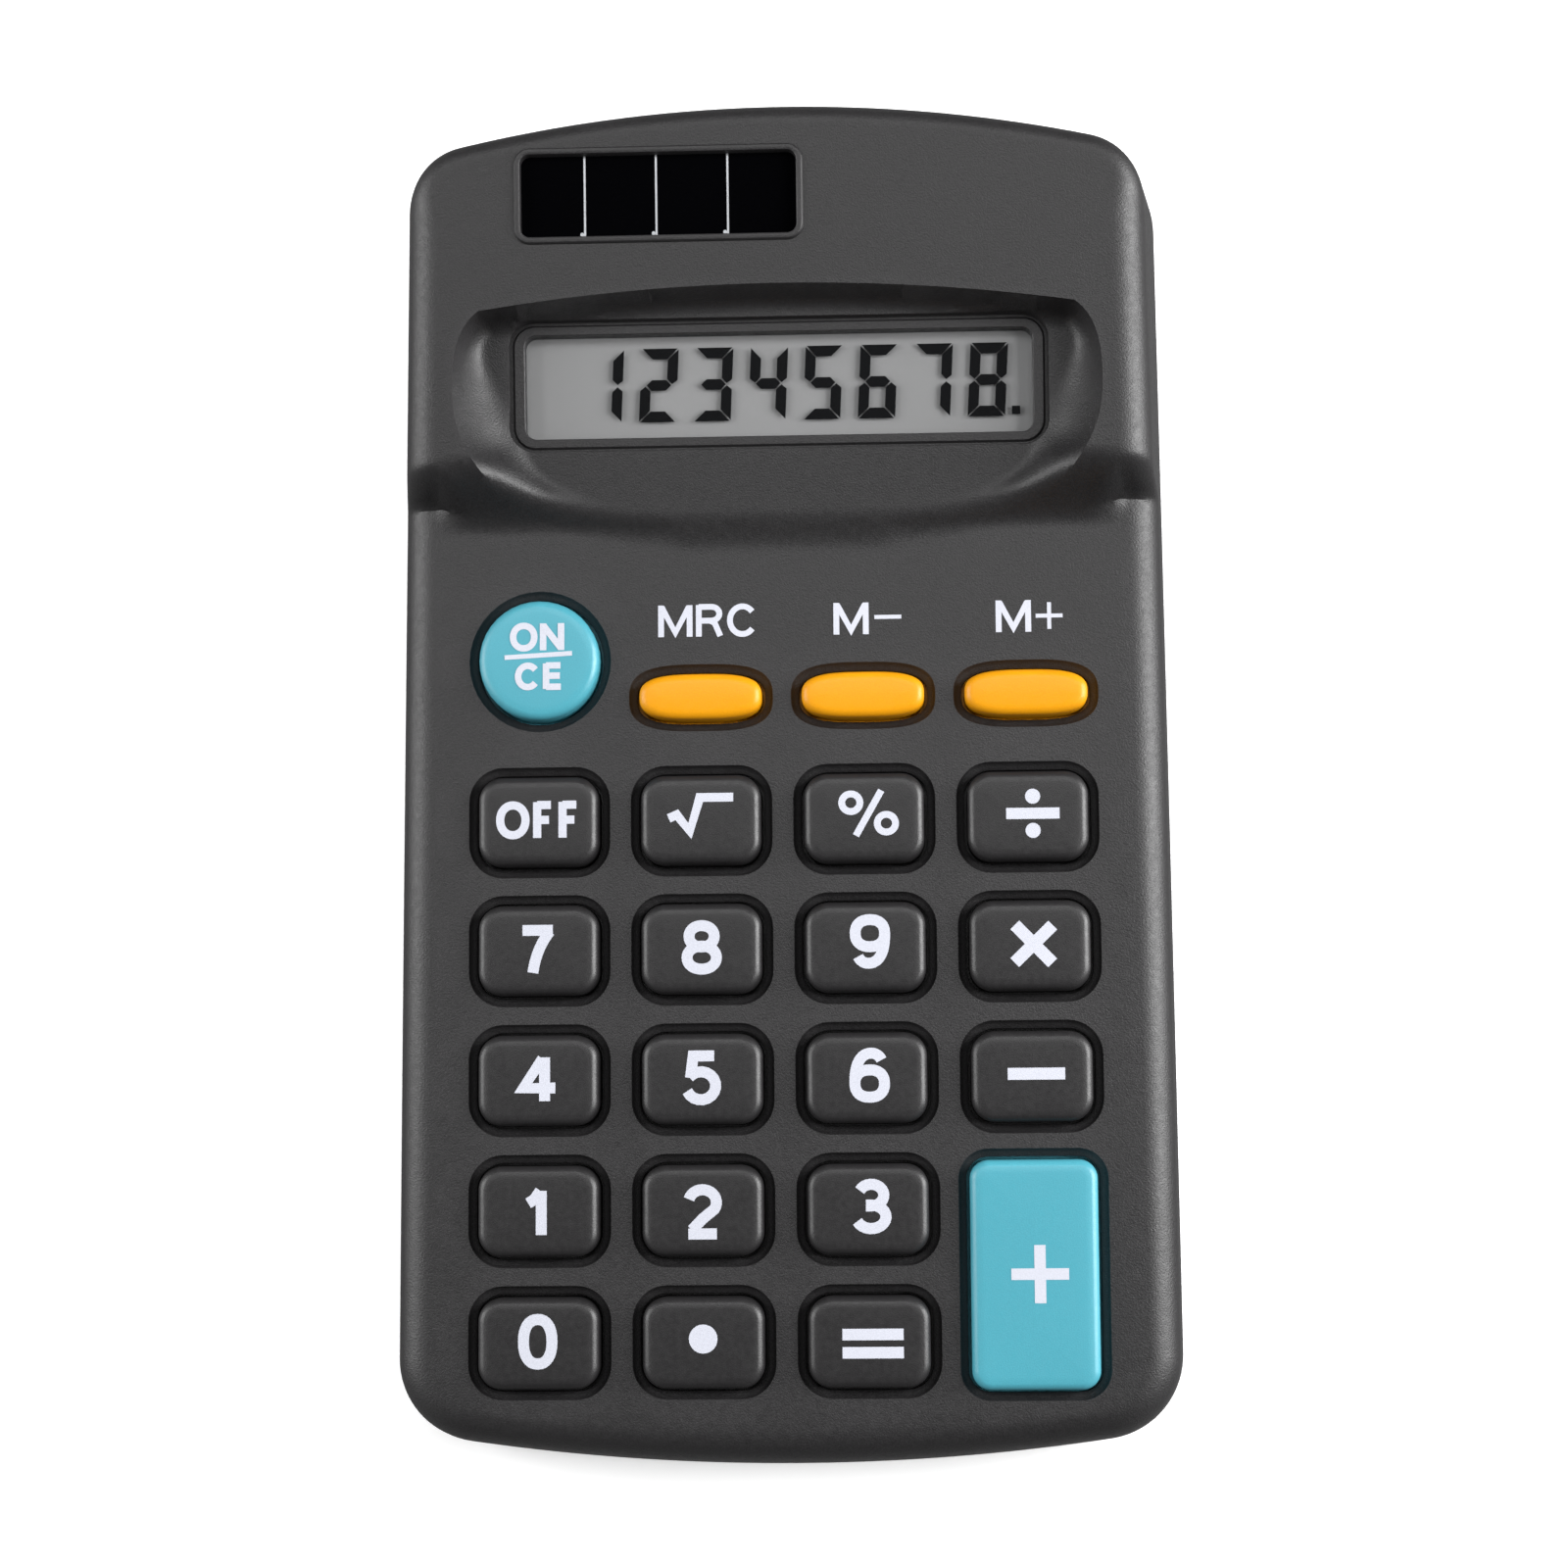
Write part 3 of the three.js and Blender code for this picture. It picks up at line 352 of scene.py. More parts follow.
def hump_height(y):
    return RIDGE_HEIGHT + (y - RIDGE_Y) * HUMP_SLOPE


def scoop_height(y):
    return SCOOP_FOOT_HEIGHT + (y - STEP_FOOT_Y) * SCOOP_SLOPE


def step_end(x):
    """0 along most of the step, rising to 1 at its ends by the long sides."""
    return ramp(abs(x), STEP_SHARPENS)


def deck_and_hump(points):
    """Height of the face outside the scoop: the flat deck, the step up, sharp at the sides, and the hump."""
    sharpness, y = step_end(points[:, 0]), points[:, 1]
    share = np.clip((y - STEP_FOOT_Y - STEP_BEND * sharpness) / (STEP_HEAD_Y - STEP_FOOT_Y), 0, 1)
    sharp_rise = 0.55 * (1 - (1 - share) ** 2.4) + 0.45 * smooth(share)
    soft_rise = ramp(y, SOFT_STEP)
    rise = soft_rise + (sharp_rise - soft_rise) * sharpness
    return DECK + (hump_height(np.maximum(y, STEP_HEAD_Y)) - DECK) * rise


def face_height(points):
    """Height of the front face at each point."""
    points = np.asarray(points, float)
    heights = deck_and_hump(points)
    x, y = abs(points[:, 0]), points[:, 1]
    near = np.flatnonzero((y > FLOOR_FADE[0]) & (y < RIDGE_Y) & (x < SCOOP_SIDE))
    near = near[inside(points[near], SCOOP_RIM)]
    if len(near):
        distance, rim_y = nearest(points[near], SCOOP_RIM)
        beside = smooth((SHOULDER[1] + 0.5 - rim_y) / 11)
        mouth = smooth((SCOOP_SIDE_Y - 5 - rim_y) / 5)
        width = HOOD_WALL + (SIDE_WALL - HOOD_WALL) * beside + (MOUTH_WALL - SIDE_WALL) * mouth
        share = np.clip(distance / width, 0, 1)
        steep = np.sqrt(1 - (1 - share) ** 2)
        even = 1 - (1 - share) ** 2.2
        sunk = steep + (even - steep) * beside + (smooth(share) - even) * mouth
        y = y[near]
        floor = DECK + (scoop_height(y) - DECK) * ramp(y, FLOOR_FADE)
        heights[near] += (floor - heights[near]) * sunk
    return heights


# ---- mesh helpers


def in_frame(points):
    """Points in millimetres, with Y from the foot edge, as metres in the frame's axes."""
    placed = np.array(points, float) * MM
    placed[:, 1] += FOOT_EDGE
    return [tuple(point) for point in placed]


def link(name, data):
    """A new object in the scene."""
    made = bpy.data.objects.new(name, data)
    bpy.context.scene.collection.objects.link(made)
    return made


def mesh_piece(name, points, faces, body, material, sharp=32):
    """A mesh object riding on a body, smooth but for edges sharper than the angle."""
    mesh = bpy.data.meshes.new(name)
    mesh.from_pydata(in_frame(points), [], [tuple(int(i) for i in face) for face in faces])
    piece = link(name, mesh)
    tidy_mesh(mesh, sharp)
    mesh.materials.append(material)
    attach(piece, body)
    return piece


def tidy_mesh(mesh, sharp):
    """Merges double points, turns faces outwards and marks the sharp edges."""
    form = bmesh.new()
    form.from_mesh(mesh)
    bmesh.ops.remove_doubles(form, verts=form.verts, dist=2e-6)
    bmesh.ops.dissolve_degenerate(form, edges=form.edges, dist=1e-7)
    bmesh.ops.recalc_face_normals(form, faces=form.faces)
    form.to_mesh(mesh)
    form.free()
    mesh.shade_smooth()
    mesh.set_sharp_from_angle(angle=math.radians(sharp))


class Surface:
    """Points and faces of one piece, collected from sweeps and sheets."""

    def __init__(self):
        self.points = []
        self.faces = []

    def add(self, points, faces):
        first = len(self.points)
        self.points.extend([tuple(point) for point in points])
        self.faces.extend([tuple(first + i for i in face) for face in faces])

    def sweep(self, rings, close_first=False, close_last=False):
        """Joins rings that have the same number of points, each a closed loop."""
        count = len(rings[0])
        faces = []
        for row in range(len(rings) - 1):
            for i in range(count):
                j = (i + 1) % count
                faces.append((row * count + i, row * count + j, (row + 1) * count + j, (row + 1) * count + i))
        if close_first:
            faces.append(tuple(reversed(range(count))))
        if close_last:
            faces.append(tuple((len(rings) - 1) * count + i for i in range(count)))
        self.add(np.vstack(rings), faces)

    def solid(self, rings):
        """A closed form from rings, with both ends filled."""
        self.sweep(rings, close_first=True, close_last=True)

    def sheet(self, border, holes, height, spacing, lines=()):
        """A sheet with holes inside border, lifted to height(points), with its points spacing(y) apart."""
        loops = [border, *holes]
        corners = [np.vstack(loops)]
        edges, first = [], 0
        for loop in loops:
            edges += [(first + i, first + (i + 1) % len(loop)) for i in range(len(loop))]
            first += len(loop)
        for line in lines:
            edges += [(first + i, first + i + 1) for i in range(len(line) - 1)]
            corners.append(line)
            first += len(line)
        fill = grid_points(border, spacing)
        closed = [np.vstack((loop, loop[:1])) for loop in loops] + list(lines)
        for line in closed:
            distance, _ = nearest(fill, line)
            fill = fill[distance > 0.45 * spacing(fill[:, 1])]
        for hole in holes:
            fill = fill[~inside(fill, hole)]
        flat = np.vstack((*corners, fill))
        made = delaunay_2d_cdt([Vector(point) for point in flat], edges, [], 1, 1e-7, False)
        points = np.array([tuple(point) for point in made[0]])
        faces = np.array(made[2])
        middles = points[faces].mean(axis=1)
        keep = inside(middles, border)
        for hole in holes:
            keep &= ~inside(middles, hole)
        self.add(np.column_stack((points, height(points))), faces[keep])


def grid_points(border, spacing):
    """Rows of points inside border, spacing(y) apart."""
    rows = []
    y = border[:, 1].min() + 0.3
    row_number = 0
    while y < border[:, 1].max():
        gap = float(spacing(np.array([y]))[0])
        x = np.arange(border[:, 0].min() + gap * (row_number % 2) / 2, border[:, 0].max(), gap)
        rows.append(np.column_stack((x, np.full(len(x), y))))
        y += gap * 0.87
        row_number += 1
    points = np.vstack(rows)
    return points[inside(points, border)]


def ring_at(outline, height):
    """A flat loop of points lifted to one height, or to one height for each point."""
    return np.column_stack((outline, np.broadcast_to(height, len(outline))))


def case_ring(inset, height):
    """The case's outline as a loop, moved in by inset."""
    return ring_at(OUTLINE - OUTWARD * np.reshape(inset, (-1, 1)), height)


def box_parts(low, high):
    """A closed box as points and faces."""
    corners = [(x, y, z) for x in (low[0], high[0]) for y in (low[1], high[1]) for z in (low[2], high[2])]
    faces = [(0, 1, 3, 2), (4, 6, 7, 5), (0, 4, 5, 1), (2, 3, 7, 6), (0, 2, 6, 4), (1, 5, 7, 3)]
    return corners, faces


def cut_with(piece, operation, parts):
    """Joins, cuts or intersects a piece with closed forms, each given as points and faces."""
    for points, faces in parts:
        tool_mesh = bpy.data.meshes.new("tool")
        tool_mesh.from_pydata(in_frame(points), [], faces)
        tidy_mesh(tool_mesh, 30)
        tool = link("tool", tool_mesh)
        modifier = piece.modifiers.new("cut", "BOOLEAN")
        modifier.operation = operation
        modifier.solver = "EXACT"
        modifier.object = tool
        bpy.context.view_layer.update()
        shaped = piece.evaluated_get(bpy.context.evaluated_depsgraph_get())
        mesh = bpy.data.meshes.new_from_object(shaped)
        piece.modifiers.clear()
        piece.data = mesh
        bpy.data.objects.remove(tool)
    tidy_mesh(piece.data, 32)


def cylinder_parts(x, y, low, high, radius):
    """A closed upright cylinder as points and faces."""
    loop = disc(x, y, radius, 32)
    surface = Surface()
    surface.solid([ring_at(loop, low), ring_at(loop, high)])
    return surface.points, surface.faces


# ---- materials


BROAD_GRAIN = 18.0  # size of the slow changes in a finish's colour
CLEAR_IOR = 1.18


def linear(colour):
    """A screen colour, 0 to 255, as the linear values that a material takes."""
    shares = [value / 255 for value in colour]
    return [(c / 12.92 if c <= 0.04045 else ((c + 0.055) / 1.055) ** 2.4) for c in shares] + [1.0]


def feed(node, inputs):
    """Gives a shader node's inputs their values, or the outputs of the nodes that feed them."""
    for key, value in inputs.items():
        if isinstance(value, bpy.types.NodeSocket):
            node.id_data.links.new(value, node.inputs[key])
        else:
            node.inputs[key].default_value = value


def add_node(tree, kind, inputs, **settings):
    """A new shader node with its settings and inputs."""
    node = tree.nodes.new("ShaderNode" + kind)
    for name, value in settings.items():
        setattr(node, name, value)
    feed(node, inputs)
    return node


def new_tree(name):
    """A new material, and its node tree."""
    made = bpy.data.materials.new(name)
    made.use_nodes = True
    return made, made.node_tree


def material(
    name, colour, roughness, metallic=0.0, grain=0.12, depth=0.02, variation=0.1,
    painted_edge_highlight=0.0, coat=0.0, sheen=0.5, glow=0.0,
):
    """A moulded, painted or metal finish. grain is the size of its texture and depth how deep it is, both in
    millimetres; variation is how much its colour changes from place to place. The edge setting is a painted
    highlight: how far convex edges are painted lighter. sheen is how strongly it mirrors at right angles, and
    glow is light of its own."""
    made, tree = new_tree(name)
    place = add_node(tree, "TexCoord", {}).outputs["Object"]

    def noise(size, detail):
        inputs = {"Scale": 1 / (size * MM), "Detail": detail, "Vector": place}
        return add_node(tree, "TexNoise", inputs).outputs["Fac"]

    def spread(value, low, high, factor_low=0.3, factor_high=0.7):
        limits = {"From Min": factor_low, "From Max": factor_high, "To Min": low, "To Max": high}
        return add_node(tree, "MapRange", {**limits, "Value": value}).outputs["Result"]

    def product(first, second):
        return add_node(tree, "Math", {0: first, 1: second}, operation="MULTIPLY").outputs["Value"]

    fine = noise(grain, 3)
    shade = product(spread(fine, 1 - variation, 1 + variation), spread(noise(BROAD_GRAIN, 2), 0.97, 1.03))
    # painted highlight: convex edges, found by their pointiness, are painted lighter
    if painted_edge_highlight:
        pointed = add_node(tree, "NewGeometry", {}).outputs["Pointiness"]
        shade = product(shade, spread(pointed, 1, 1 + painted_edge_highlight, 0.5, 0.56))
    tint = add_node(tree, "VectorMath", {0: linear(colour)[:3], "Scale": shade}, operation="SCALE")
    bump = add_node(tree, "Bump", {"Strength": 1.0, "Distance": depth * MM, "Height": fine})
    feed(tree.nodes["Principled BSDF"], {
        "Base Color": tint.outputs["Vector"],
        "Roughness": spread(noise(grain * 4, 2), roughness * 0.9, min(roughness * 1.1, 1)),
        "Normal": bump.outputs["Normal"],
        "Metallic": metallic,
        "Coat Weight": coat,
        "Coat Roughness": 0.15,
        "Specular IOR Level": sheen,
        "Emission Color": linear(colour),
        "Emission Strength": glow,
    })
    return made


def clear_material(name, tint, gloss):
    """A clear sheet: light passes straight through, and its face mirrors a little, more at a low angle."""
    made, tree = new_tree(name)
    tree.nodes.remove(tree.nodes["Principled BSDF"])
    smear = add_node(tree, "TexNoise", {"Scale": 1 / (3 * MM)})
    bump = add_node(tree, "Bump", {"Distance": 0.002 * MM, "Height": smear.outputs["Fac"]})
    through = add_node(tree, "BsdfTransparent", {"Color": linear(tint)})
    mirror = add_node(tree, "BsdfGlossy", {"Roughness": gloss, "Normal": bump.outputs["Normal"]})
    angle = add_node(tree, "Fresnel", {"IOR": CLEAR_IOR})
    back = add_node(tree, "NewGeometry", {}).outputs["Backfacing"]
    # taking the back away leaves nothing mirrored inside the sheet
    faces = {0: angle.outputs["Fac"], 1: back}
    front = add_node(tree, "Math", faces, operation="SUBTRACT", use_clamp=True)
    shaders = {"Fac": front.outputs["Value"], 1: through.outputs["BSDF"], 2: mirror.outputs["BSDF"]}
    feed(tree.nodes["Material Output"], {"Surface": add_node(tree, "MixShader", shaders).outputs["Shader"]})
    return made


CASE_GRAIN = {"grain": 0.15, "depth": 0.04, "variation": 0.35}
# the edge values below paint a highlight along the convex edges of the case and the keys
CAP_GRAIN = {"grain": 0.12, "depth": 0.01, "variation": 0.05, "painted_edge_highlight": 0.12}
CASE_PLASTIC = material("case_plastic", (26, 25, 26), 0.46, painted_edge_highlight=0.35, **CASE_GRAIN)
BACK_PLASTIC = material("back_plastic", (26, 25, 26), 0.5, painted_edge_highlight=0.3, **CASE_GRAIN)
CHARCOAL = material("charcoal_key", (24, 23, 24), 0.42, grain=0.12, depth=0.012, variation=0.08, painted_edge_highlight=0.6)
TEAL = material("teal_key", (66, 143, 158), 0.38, **CAP_GRAIN)
AMBER = material("amber_key", (207, 138, 6), 0.38, sheen=0.3, **CAP_GRAIN)
INK = material("legend_ink", (184, 186, 196), 0.5, grain=0.1, depth=0.006, variation=0.07)
RUBBER = material("mat_rubber", (143, 144, 148), 0.75, grain=0.2, depth=0.01, variation=0.08)
BOARD = material("board", (44, 104, 60), 0.4, grain=0.25, depth=0.01, variation=0.15, coat=0.3)
RESIN = material("chip_resin", (16, 16, 17), 0.25, grain=0.8, depth=0.02, variation=0.2)
REFLECTOR = material("display_reflector", (132, 130, 128), 0.6, grain=0.06, depth=0.004, variation=0.05)
SEGMENT = material("display_segment", (6, 6, 7), 0.5, grain=0.08, depth=0.002, variation=0.1, sheen=0.1)
FOAM = material("foam", (42, 42, 44), 0.95, grain=0.35, depth=0.12, variation=0.3)
FILM = material("film", (186, 160, 118), 0.35, grain=0.4, depth=0.01, variation=0.12)
SOLAR_GLASS = material("solar_glass", (3, 3, 4), 0.3, grain=0.1, depth=0.002, variation=0.3, sheen=0.0)
SOLAR_LINE = material("solar_line", (176, 178, 182), 0.3, metallic=0.6, grain=0.1, depth=0.004, variation=0.1)
SLEEVE = material("battery_sleeve", (40, 66, 112), 0.25, grain=0.5, depth=0.006, variation=0.08, coat=0.4)
NICKEL = material("contact_steel", (196, 196, 200), 0.28, metallic=1.0, grain=0.3, depth=0.006, variation=0.1)
STEEL = material("screw_steel", (168, 168, 174), 0.34, metallic=1.0, grain=0.15, depth=0.01, variation=0.15)
RED_WIRE = material("red_wire", (176, 36, 30), 0.42, grain=0.2, depth=0.008, variation=0.1)
BLACK_WIRE = material("black_wire", (22, 22, 22), 0.42, grain=0.2, depth=0.008, variation=0.15)
CLEAR = clear_material("clear_plastic", (250, 251, 252), 0.06)

NODE_FINISHES = {
    "circuit_board": (BOARD, "board"),
    "chip_blob": (RESIN, "chip_resin"),
    "display_window": (CLEAR, "clear_plastic"),
    "display_pad": (FOAM, "foam"),
    "display_ribbon": (FILM, "film"),
    "battery_cell": (SLEEVE, "battery_sleeve"),
    "battery_spring": (NICKEL, "contact_steel"),
    "battery_contact": (NICKEL, "contact_steel"),
    "battery_lead_positive": (RED_WIRE, "red_wire"),
    "battery_lead_negative": (BLACK_WIRE, "black_wire"),
    "solar_lead_positive": (RED_WIRE, "red_wire"),
    "solar_lead_negative": (BLACK_WIRE, "black_wire"),
    **{node: (STEEL, "screw_steel") for node in frame["nodes"] if "_screw_" in node},
}


def finish_nodes():
    """Gives the CAD nodes that stay in view their materials."""
    for node, (finish, slot) in NODE_FINISHES.items():
        piece = frame["nodes"][node]
        piece.data.materials.clear()
        piece.data.materials.append(finish)


finish_nodes()


# ---- front case


def draft_at(height):
    return (height - PARTING) * SIDE_DRAFT


def edge_round_at(points):
    """Radius of the case's top edge: smaller along the head, where the solar cell's frame is close to it."""
    return EDGE_ROUND + (HEAD_EDGE_ROUND - EDGE_ROUND) * smooth((points[:, 1] - LENGTH + 12) / 8)


def edge_rings(steps=7):
    """Loops from the front face over its rounded edge and down the leaning wall to the parting line."""
    radius = edge_round_at(OUTLINE)
    lean = math.atan(SIDE_DRAFT)
    top = deck_and_hump(OUTLINE)
    for _ in range(3):
        centre_inset = draft_at(top - radius) + radius / math.cos(lean)
        top = face_height(OUTLINE - OUTWARD * centre_inset[:, None])
    rings = []
    for step in range(steps + 1):
        angle = (math.pi / 2 - lean) * step / steps
        inset = centre_inset - radius * math.sin(angle)
        height = top - radius * (1 - math.cos(angle))
        rings.append(case_ring(inset, height))
    lowest = rings[-1][:, 2]
    for share in (0.35, 0.7, 0.94):
        height = lowest + (PARTING - lowest) * share
        rings.append(case_ring(draft_at(height), height))
    return [*rings, case_ring(0.03, PARTING + 0.12), case_ring(0.2, PARTING + 0.02)]


def key_well(node):
    """Loops from a well's rim in the deck, over its dished ledge, down to the underside of the plate."""
    profile = [
        (WELL_LIP, 0),
        (WELL_LIP - 0.05, -0.05),
        (WELL_LIP - 0.09, -0.17),
        (WELL_LIP - 0.22, -0.33),
        (WELL_LIP - 0.42, -0.47),
        (HOLE_LIP + 0.06, -0.57),
        (HOLE_LIP, -0.64),
        (HOLE_LIP, -TOP_PLATE),
    ]
    return [ring_at(cap_outline(node, grow), DECK + sunk) for grow, sunk in profile]


def tilted_rings(measures, middle, slope, surface, profile):
    """Loops round an opening in a sloping face, each grown by and lifted from it as the profile says. A loop
    with None for its lift follows the front face itself."""
    rings = []
    for grow, lift in profile:
        loop = rounded_rectangle(*grown(*measures, grow), side_steps=12)
        loop[:, 1] *= math.cos(math.atan(slope))
        loop += middle
        height = face_height(loop) if lift is None else surface(loop[:, 1]) + lift
        rings.append(ring_at(loop, height))
    return rings


def recess_rings():
    """The recess round the display, with a groove along its wall, and the opening in its floor."""
    place = ((0, DISPLAY_Y), SCOOP_SLOPE, scoop_height)
    floor, groove = -RECESS_DEPTH, -RECESS_DEPTH - 0.2
    outer = [(0, None), (-0.05, -0.1), (-0.1, groove), (-0.32, groove), (-0.5, floor)]
    inner = [(0.06, floor), (0, floor - 0.06), (0, floor - OPENING_LIP), (0, -TOP_PLATE)]
    return tilted_rings(RECESS, *place, outer) + tilted_rings(OPENING, *place, inner)


def solar_rings():
    """The raised frame round the solar cell, and the opening inside it."""
    profile = [
        (SOLAR_RIM, None), (SOLAR_RIM - 0.06, SOLAR_RISE * 0.6), (SOLAR_RIM - 0.16, SOLAR_RISE * 0.93),
        (SOLAR_RIM - 0.3, SOLAR_RISE), (0.14, SOLAR_RISE), (0.04, SOLAR_RISE - 0.05),
        (0, SOLAR_RISE - 0.15), (0, -0.5), (0, -TOP_PLATE),
    ]
    return tilted_rings(SOLAR_SIZE, (SOLAR_X, SOLAR_Y), HUMP_SLOPE, hump_height, profile)


def front_spacing(y):
    """Gap between the points of the front face: fine where it curves."""
    return np.where(y > CURVED_FROM, 0.42, 1.6)


def ceiling_spacing(y):
    """Gap between the points of the front case's underside."""
    return np.where(y > CURVED_FROM, 0.9, 2.5)


def front_case():
    """The front shell: its face, rounded edge, wells and openings, and the same again on the inside."""
    surface = Surface()
    edge = edge_rings()
    wells = [key_well(node) for node in KEY_NODES]
    recess, solar = recess_rings(), solar_rings()
    openings = [*wells, recess, solar]
    creases = [SCOOP_RIM[18:-18]]
    across = np.linspace(STEP_SHARPENS[0], STEP_CREASE_END, 9)
    for side in (-1, 1):
        creases.append(np.column_stack((side * across, STEP_FOOT_Y + STEP_BEND * step_end(across))))
    holes = [rings[0][:, :2] for rings in openings]
    surface.sheet(edge[0][:, :2], holes, face_height, front_spacing, creases)
    surface.sweep(edge)
    for rings in openings:
        surface.sweep(rings)
    inner = case_ring(draft_at(edge[0][:, 2]) + WALL, edge[0][:, 2] - TOP_PLATE)
    surface.sweep([edge[-1], case_ring(WALL, PARTING + 0.02), inner])
    holes = [rings[-1][:, :2] for rings in openings]
    surface.sheet(inner[:, :2], holes, lambda points: face_height(points) - TOP_PLATE, ceiling_spacing)
    piece = mesh_piece("front_shell", surface.points, surface.faces, "housing", CASE_PLASTIC)
    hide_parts("front_case")


front_case()


# ---- keys


def key_cap(node, finish):
    """A rounded, slightly crowned cap with a flange, hollow inside, and a post down to the rubber dome."""
    middle, width, height = key_plan(node)
    rings = []
    reach = min(width, height) / 2
    for share in (0.04, 0.25, 0.5, 0.75, 0.92):
        inset = reach - (reach - CAP_ROUND) * share
        crown = KEY_TOP - CAP_CROWN * share**2
        rings.append((-inset, crown))
    for step in range(1, 8):
        angle = math.pi / 2 * step / 7
        sunk = CAP_CROWN + CAP_ROUND * (1 - math.cos(angle))
        rings.append((-CAP_ROUND * (1 - math.sin(angle)), KEY_TOP - sunk))
    rings += [(0, FLANGE_TOP + 0.15), (0.05, FLANGE_TOP)]
    rings += [(FLANGE_LIP, FLANGE_TOP), (FLANGE_LIP, FLANGE_BOTTOM)]
    rings += [(-KEY_SKIRT, FLANGE_BOTTOM), (-KEY_SKIRT, KEY_TOP - KEY_SKIRT)]
    loops = [ring_at(cap_outline(node, grow), level) for grow, level in rings]
    post_radius = min(1.8, height / 2 - KEY_SKIRT - 0.1)
    directions = loops[-1][:, :2] - middle
    directions /= np.linalg.norm(directions, axis=1)[:, None]
    post = middle + directions * post_radius
    loops += [ring_at(post, KEY_TOP - KEY_SKIRT), ring_at(post, KEY_LOW[2])]
    surface = Surface()
    surface.solid(loops)
    piece = mesh_piece(node + "_cap", surface.points, surface.faces, node, finish, sharp=40)
    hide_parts(node)


for key_name in KEY_NODES:
    if key_name in ("key_plus", "key_on_clear"):
        key_cap(key_name, TEAL)
    elif key_name in MEMORY_KEYS:
        key_cap(key_name, AMBER)
    else:
        key_cap(key_name, CHARCOAL)


# ---- printed legends

PRINT_THICKNESS = 0.06
PRINT_LEVEL = KEY_TOP + 0.02


def turned(across, up, degrees):
    """A point turned about the origin."""
    turn = math.radians(degrees)
    return across * math.cos(turn) - up * math.sin(turn), across * math.sin(turn) + up * math.cos(turn)


def moved(shape, x, y):
    return [(x + across, y + up) for across, up in shape]


def bar(x, y, width, height, angle=0.0):
    """A flat rectangle about (x, y), turned by angle in degrees."""
    a, b = width / 2, height / 2
    return moved([turned(*corner, angle) for corner in ((-a, -b), (a, -b), (a, b), (-a, b))], x, y)


def bowl(x, y, reach_x, reach_y, squareness=2.3):
    """A closed loop between an ellipse and a rectangle. Its last point is its first."""
    power = 2 / squareness
    points = superellipse(reach_x, reach_y, power, power, 32) + (x, y)
    return [*points, points[0]]


# Each character's width for a height of 1, and the middle lines of its strokes in a box from 0 to 1 both ways
SIX = [bowl(0.5, 0.31, 0.5, 0.31), [
    *bezier((0, 0.34), (0, 0.78), (0.22, 1), (0.56, 1), 12),
    *bezier((0.56, 1), (0.74, 1), (0.88, 0.92), (0.93, 0.8), 8),
]]
GLYPHS = {
    "0": (0.72, [bowl(0.5, 0.5, 0.5, 0.5)]),
    "1": (0.44, [[(1, 0), (1, 1)], [(0, 0.72), (0.45, 0.8), (0.93, 1)]]),
    "2": (0.72, [[*arc(0.5, 0.71, 0.49, 0.29, 165, -32), (0.5, 0.34), (0.13, 0.09)], [(0, 0), (1, 0)]]),
    "3": (0.72, [
        [*arc(0.49, 0.755, 0.44, 0.245, 155, -90), (0.3, 0.51)],
        [(0.3, 0.53), *arc(0.48, 0.265, 0.52, 0.265, 90, -158)],
    ]),
    "4": (0.78, [[(0.72, 0), (0.72, 1)], [(0.66, 0.97), (0.04, 0.3), (1.06, 0.3)]]),
    "5": (0.72, [[(0.94, 1), (0.2, 1), (0.1, 0.5)], [*arc(0.47, 0.32, 0.52, 0.32, 142, -158)]]),
    "6": (0.74, SIX),
    "7": (0.76, [[(0, 1), (1, 1)], bezier((0.9, 0.97), (0.6, 0.7), (0.4, 0.4), (0.32, -0.1), 12)]),
    "8": (0.74, [bowl(0.5, 0.755, 0.43, 0.245, 2.1), bowl(0.5, 0.265, 0.5, 0.265, 2.1)]),
    "9": (0.74, [[(1 - x, 1 - y) for x, y in line] for line in SIX]),
    "C": (0.9, [arc(0.52, 0.5, 0.52, 0.5, 38, 322, 24)]),
    "E": (0.76, [[(0, -0.1), (0, 1.1)], [(0, 0), (1, 0)], [(0, 0.52), (0.94, 0.52)], [(0, 1), (0.98, 1)]]),
    "F": (0.62, [[(0, -0.1), (0, 1.1)], [(0, 0.5), (0.86, 0.5)], [(0, 1), (1, 1)]]),
    "M": (1.04, [[(0, -0.07), (0, 1.07)], [(1, -0.07), (1, 1.07)], [(0.03, 1), (0.5, 0.08), (0.97, 1)]]),
    "N": (0.84, [[(0, -0.1), (0, 1.1)], [(1, -0.1), (1, 1.1)], [(0.02, 1), (0.98, 0)]]),
    "O": (0.95, [bowl(0.5, 0.5, 0.5, 0.5, 2.1)]),
    "R": (0.84, [
        [(0, -0.07), (0, 1.07)],
        [(0, 1), (0.55, 1), *arc(0.58, 0.75, 0.36, 0.25, 90, -90, 10), (0, 0.5)],
        [(0.5, 0.5), (0.72, 0.42), (0.98, -0.06)],
    ]),
    "%": (1.28, [
        bowl(0.17, 0.76, 0.17, 0.22, 2), bowl(0.83, 0.24, 0.17, 0.22, 2), [(0.74, 1.06), (0.26, -0.06)],
    ]),
}


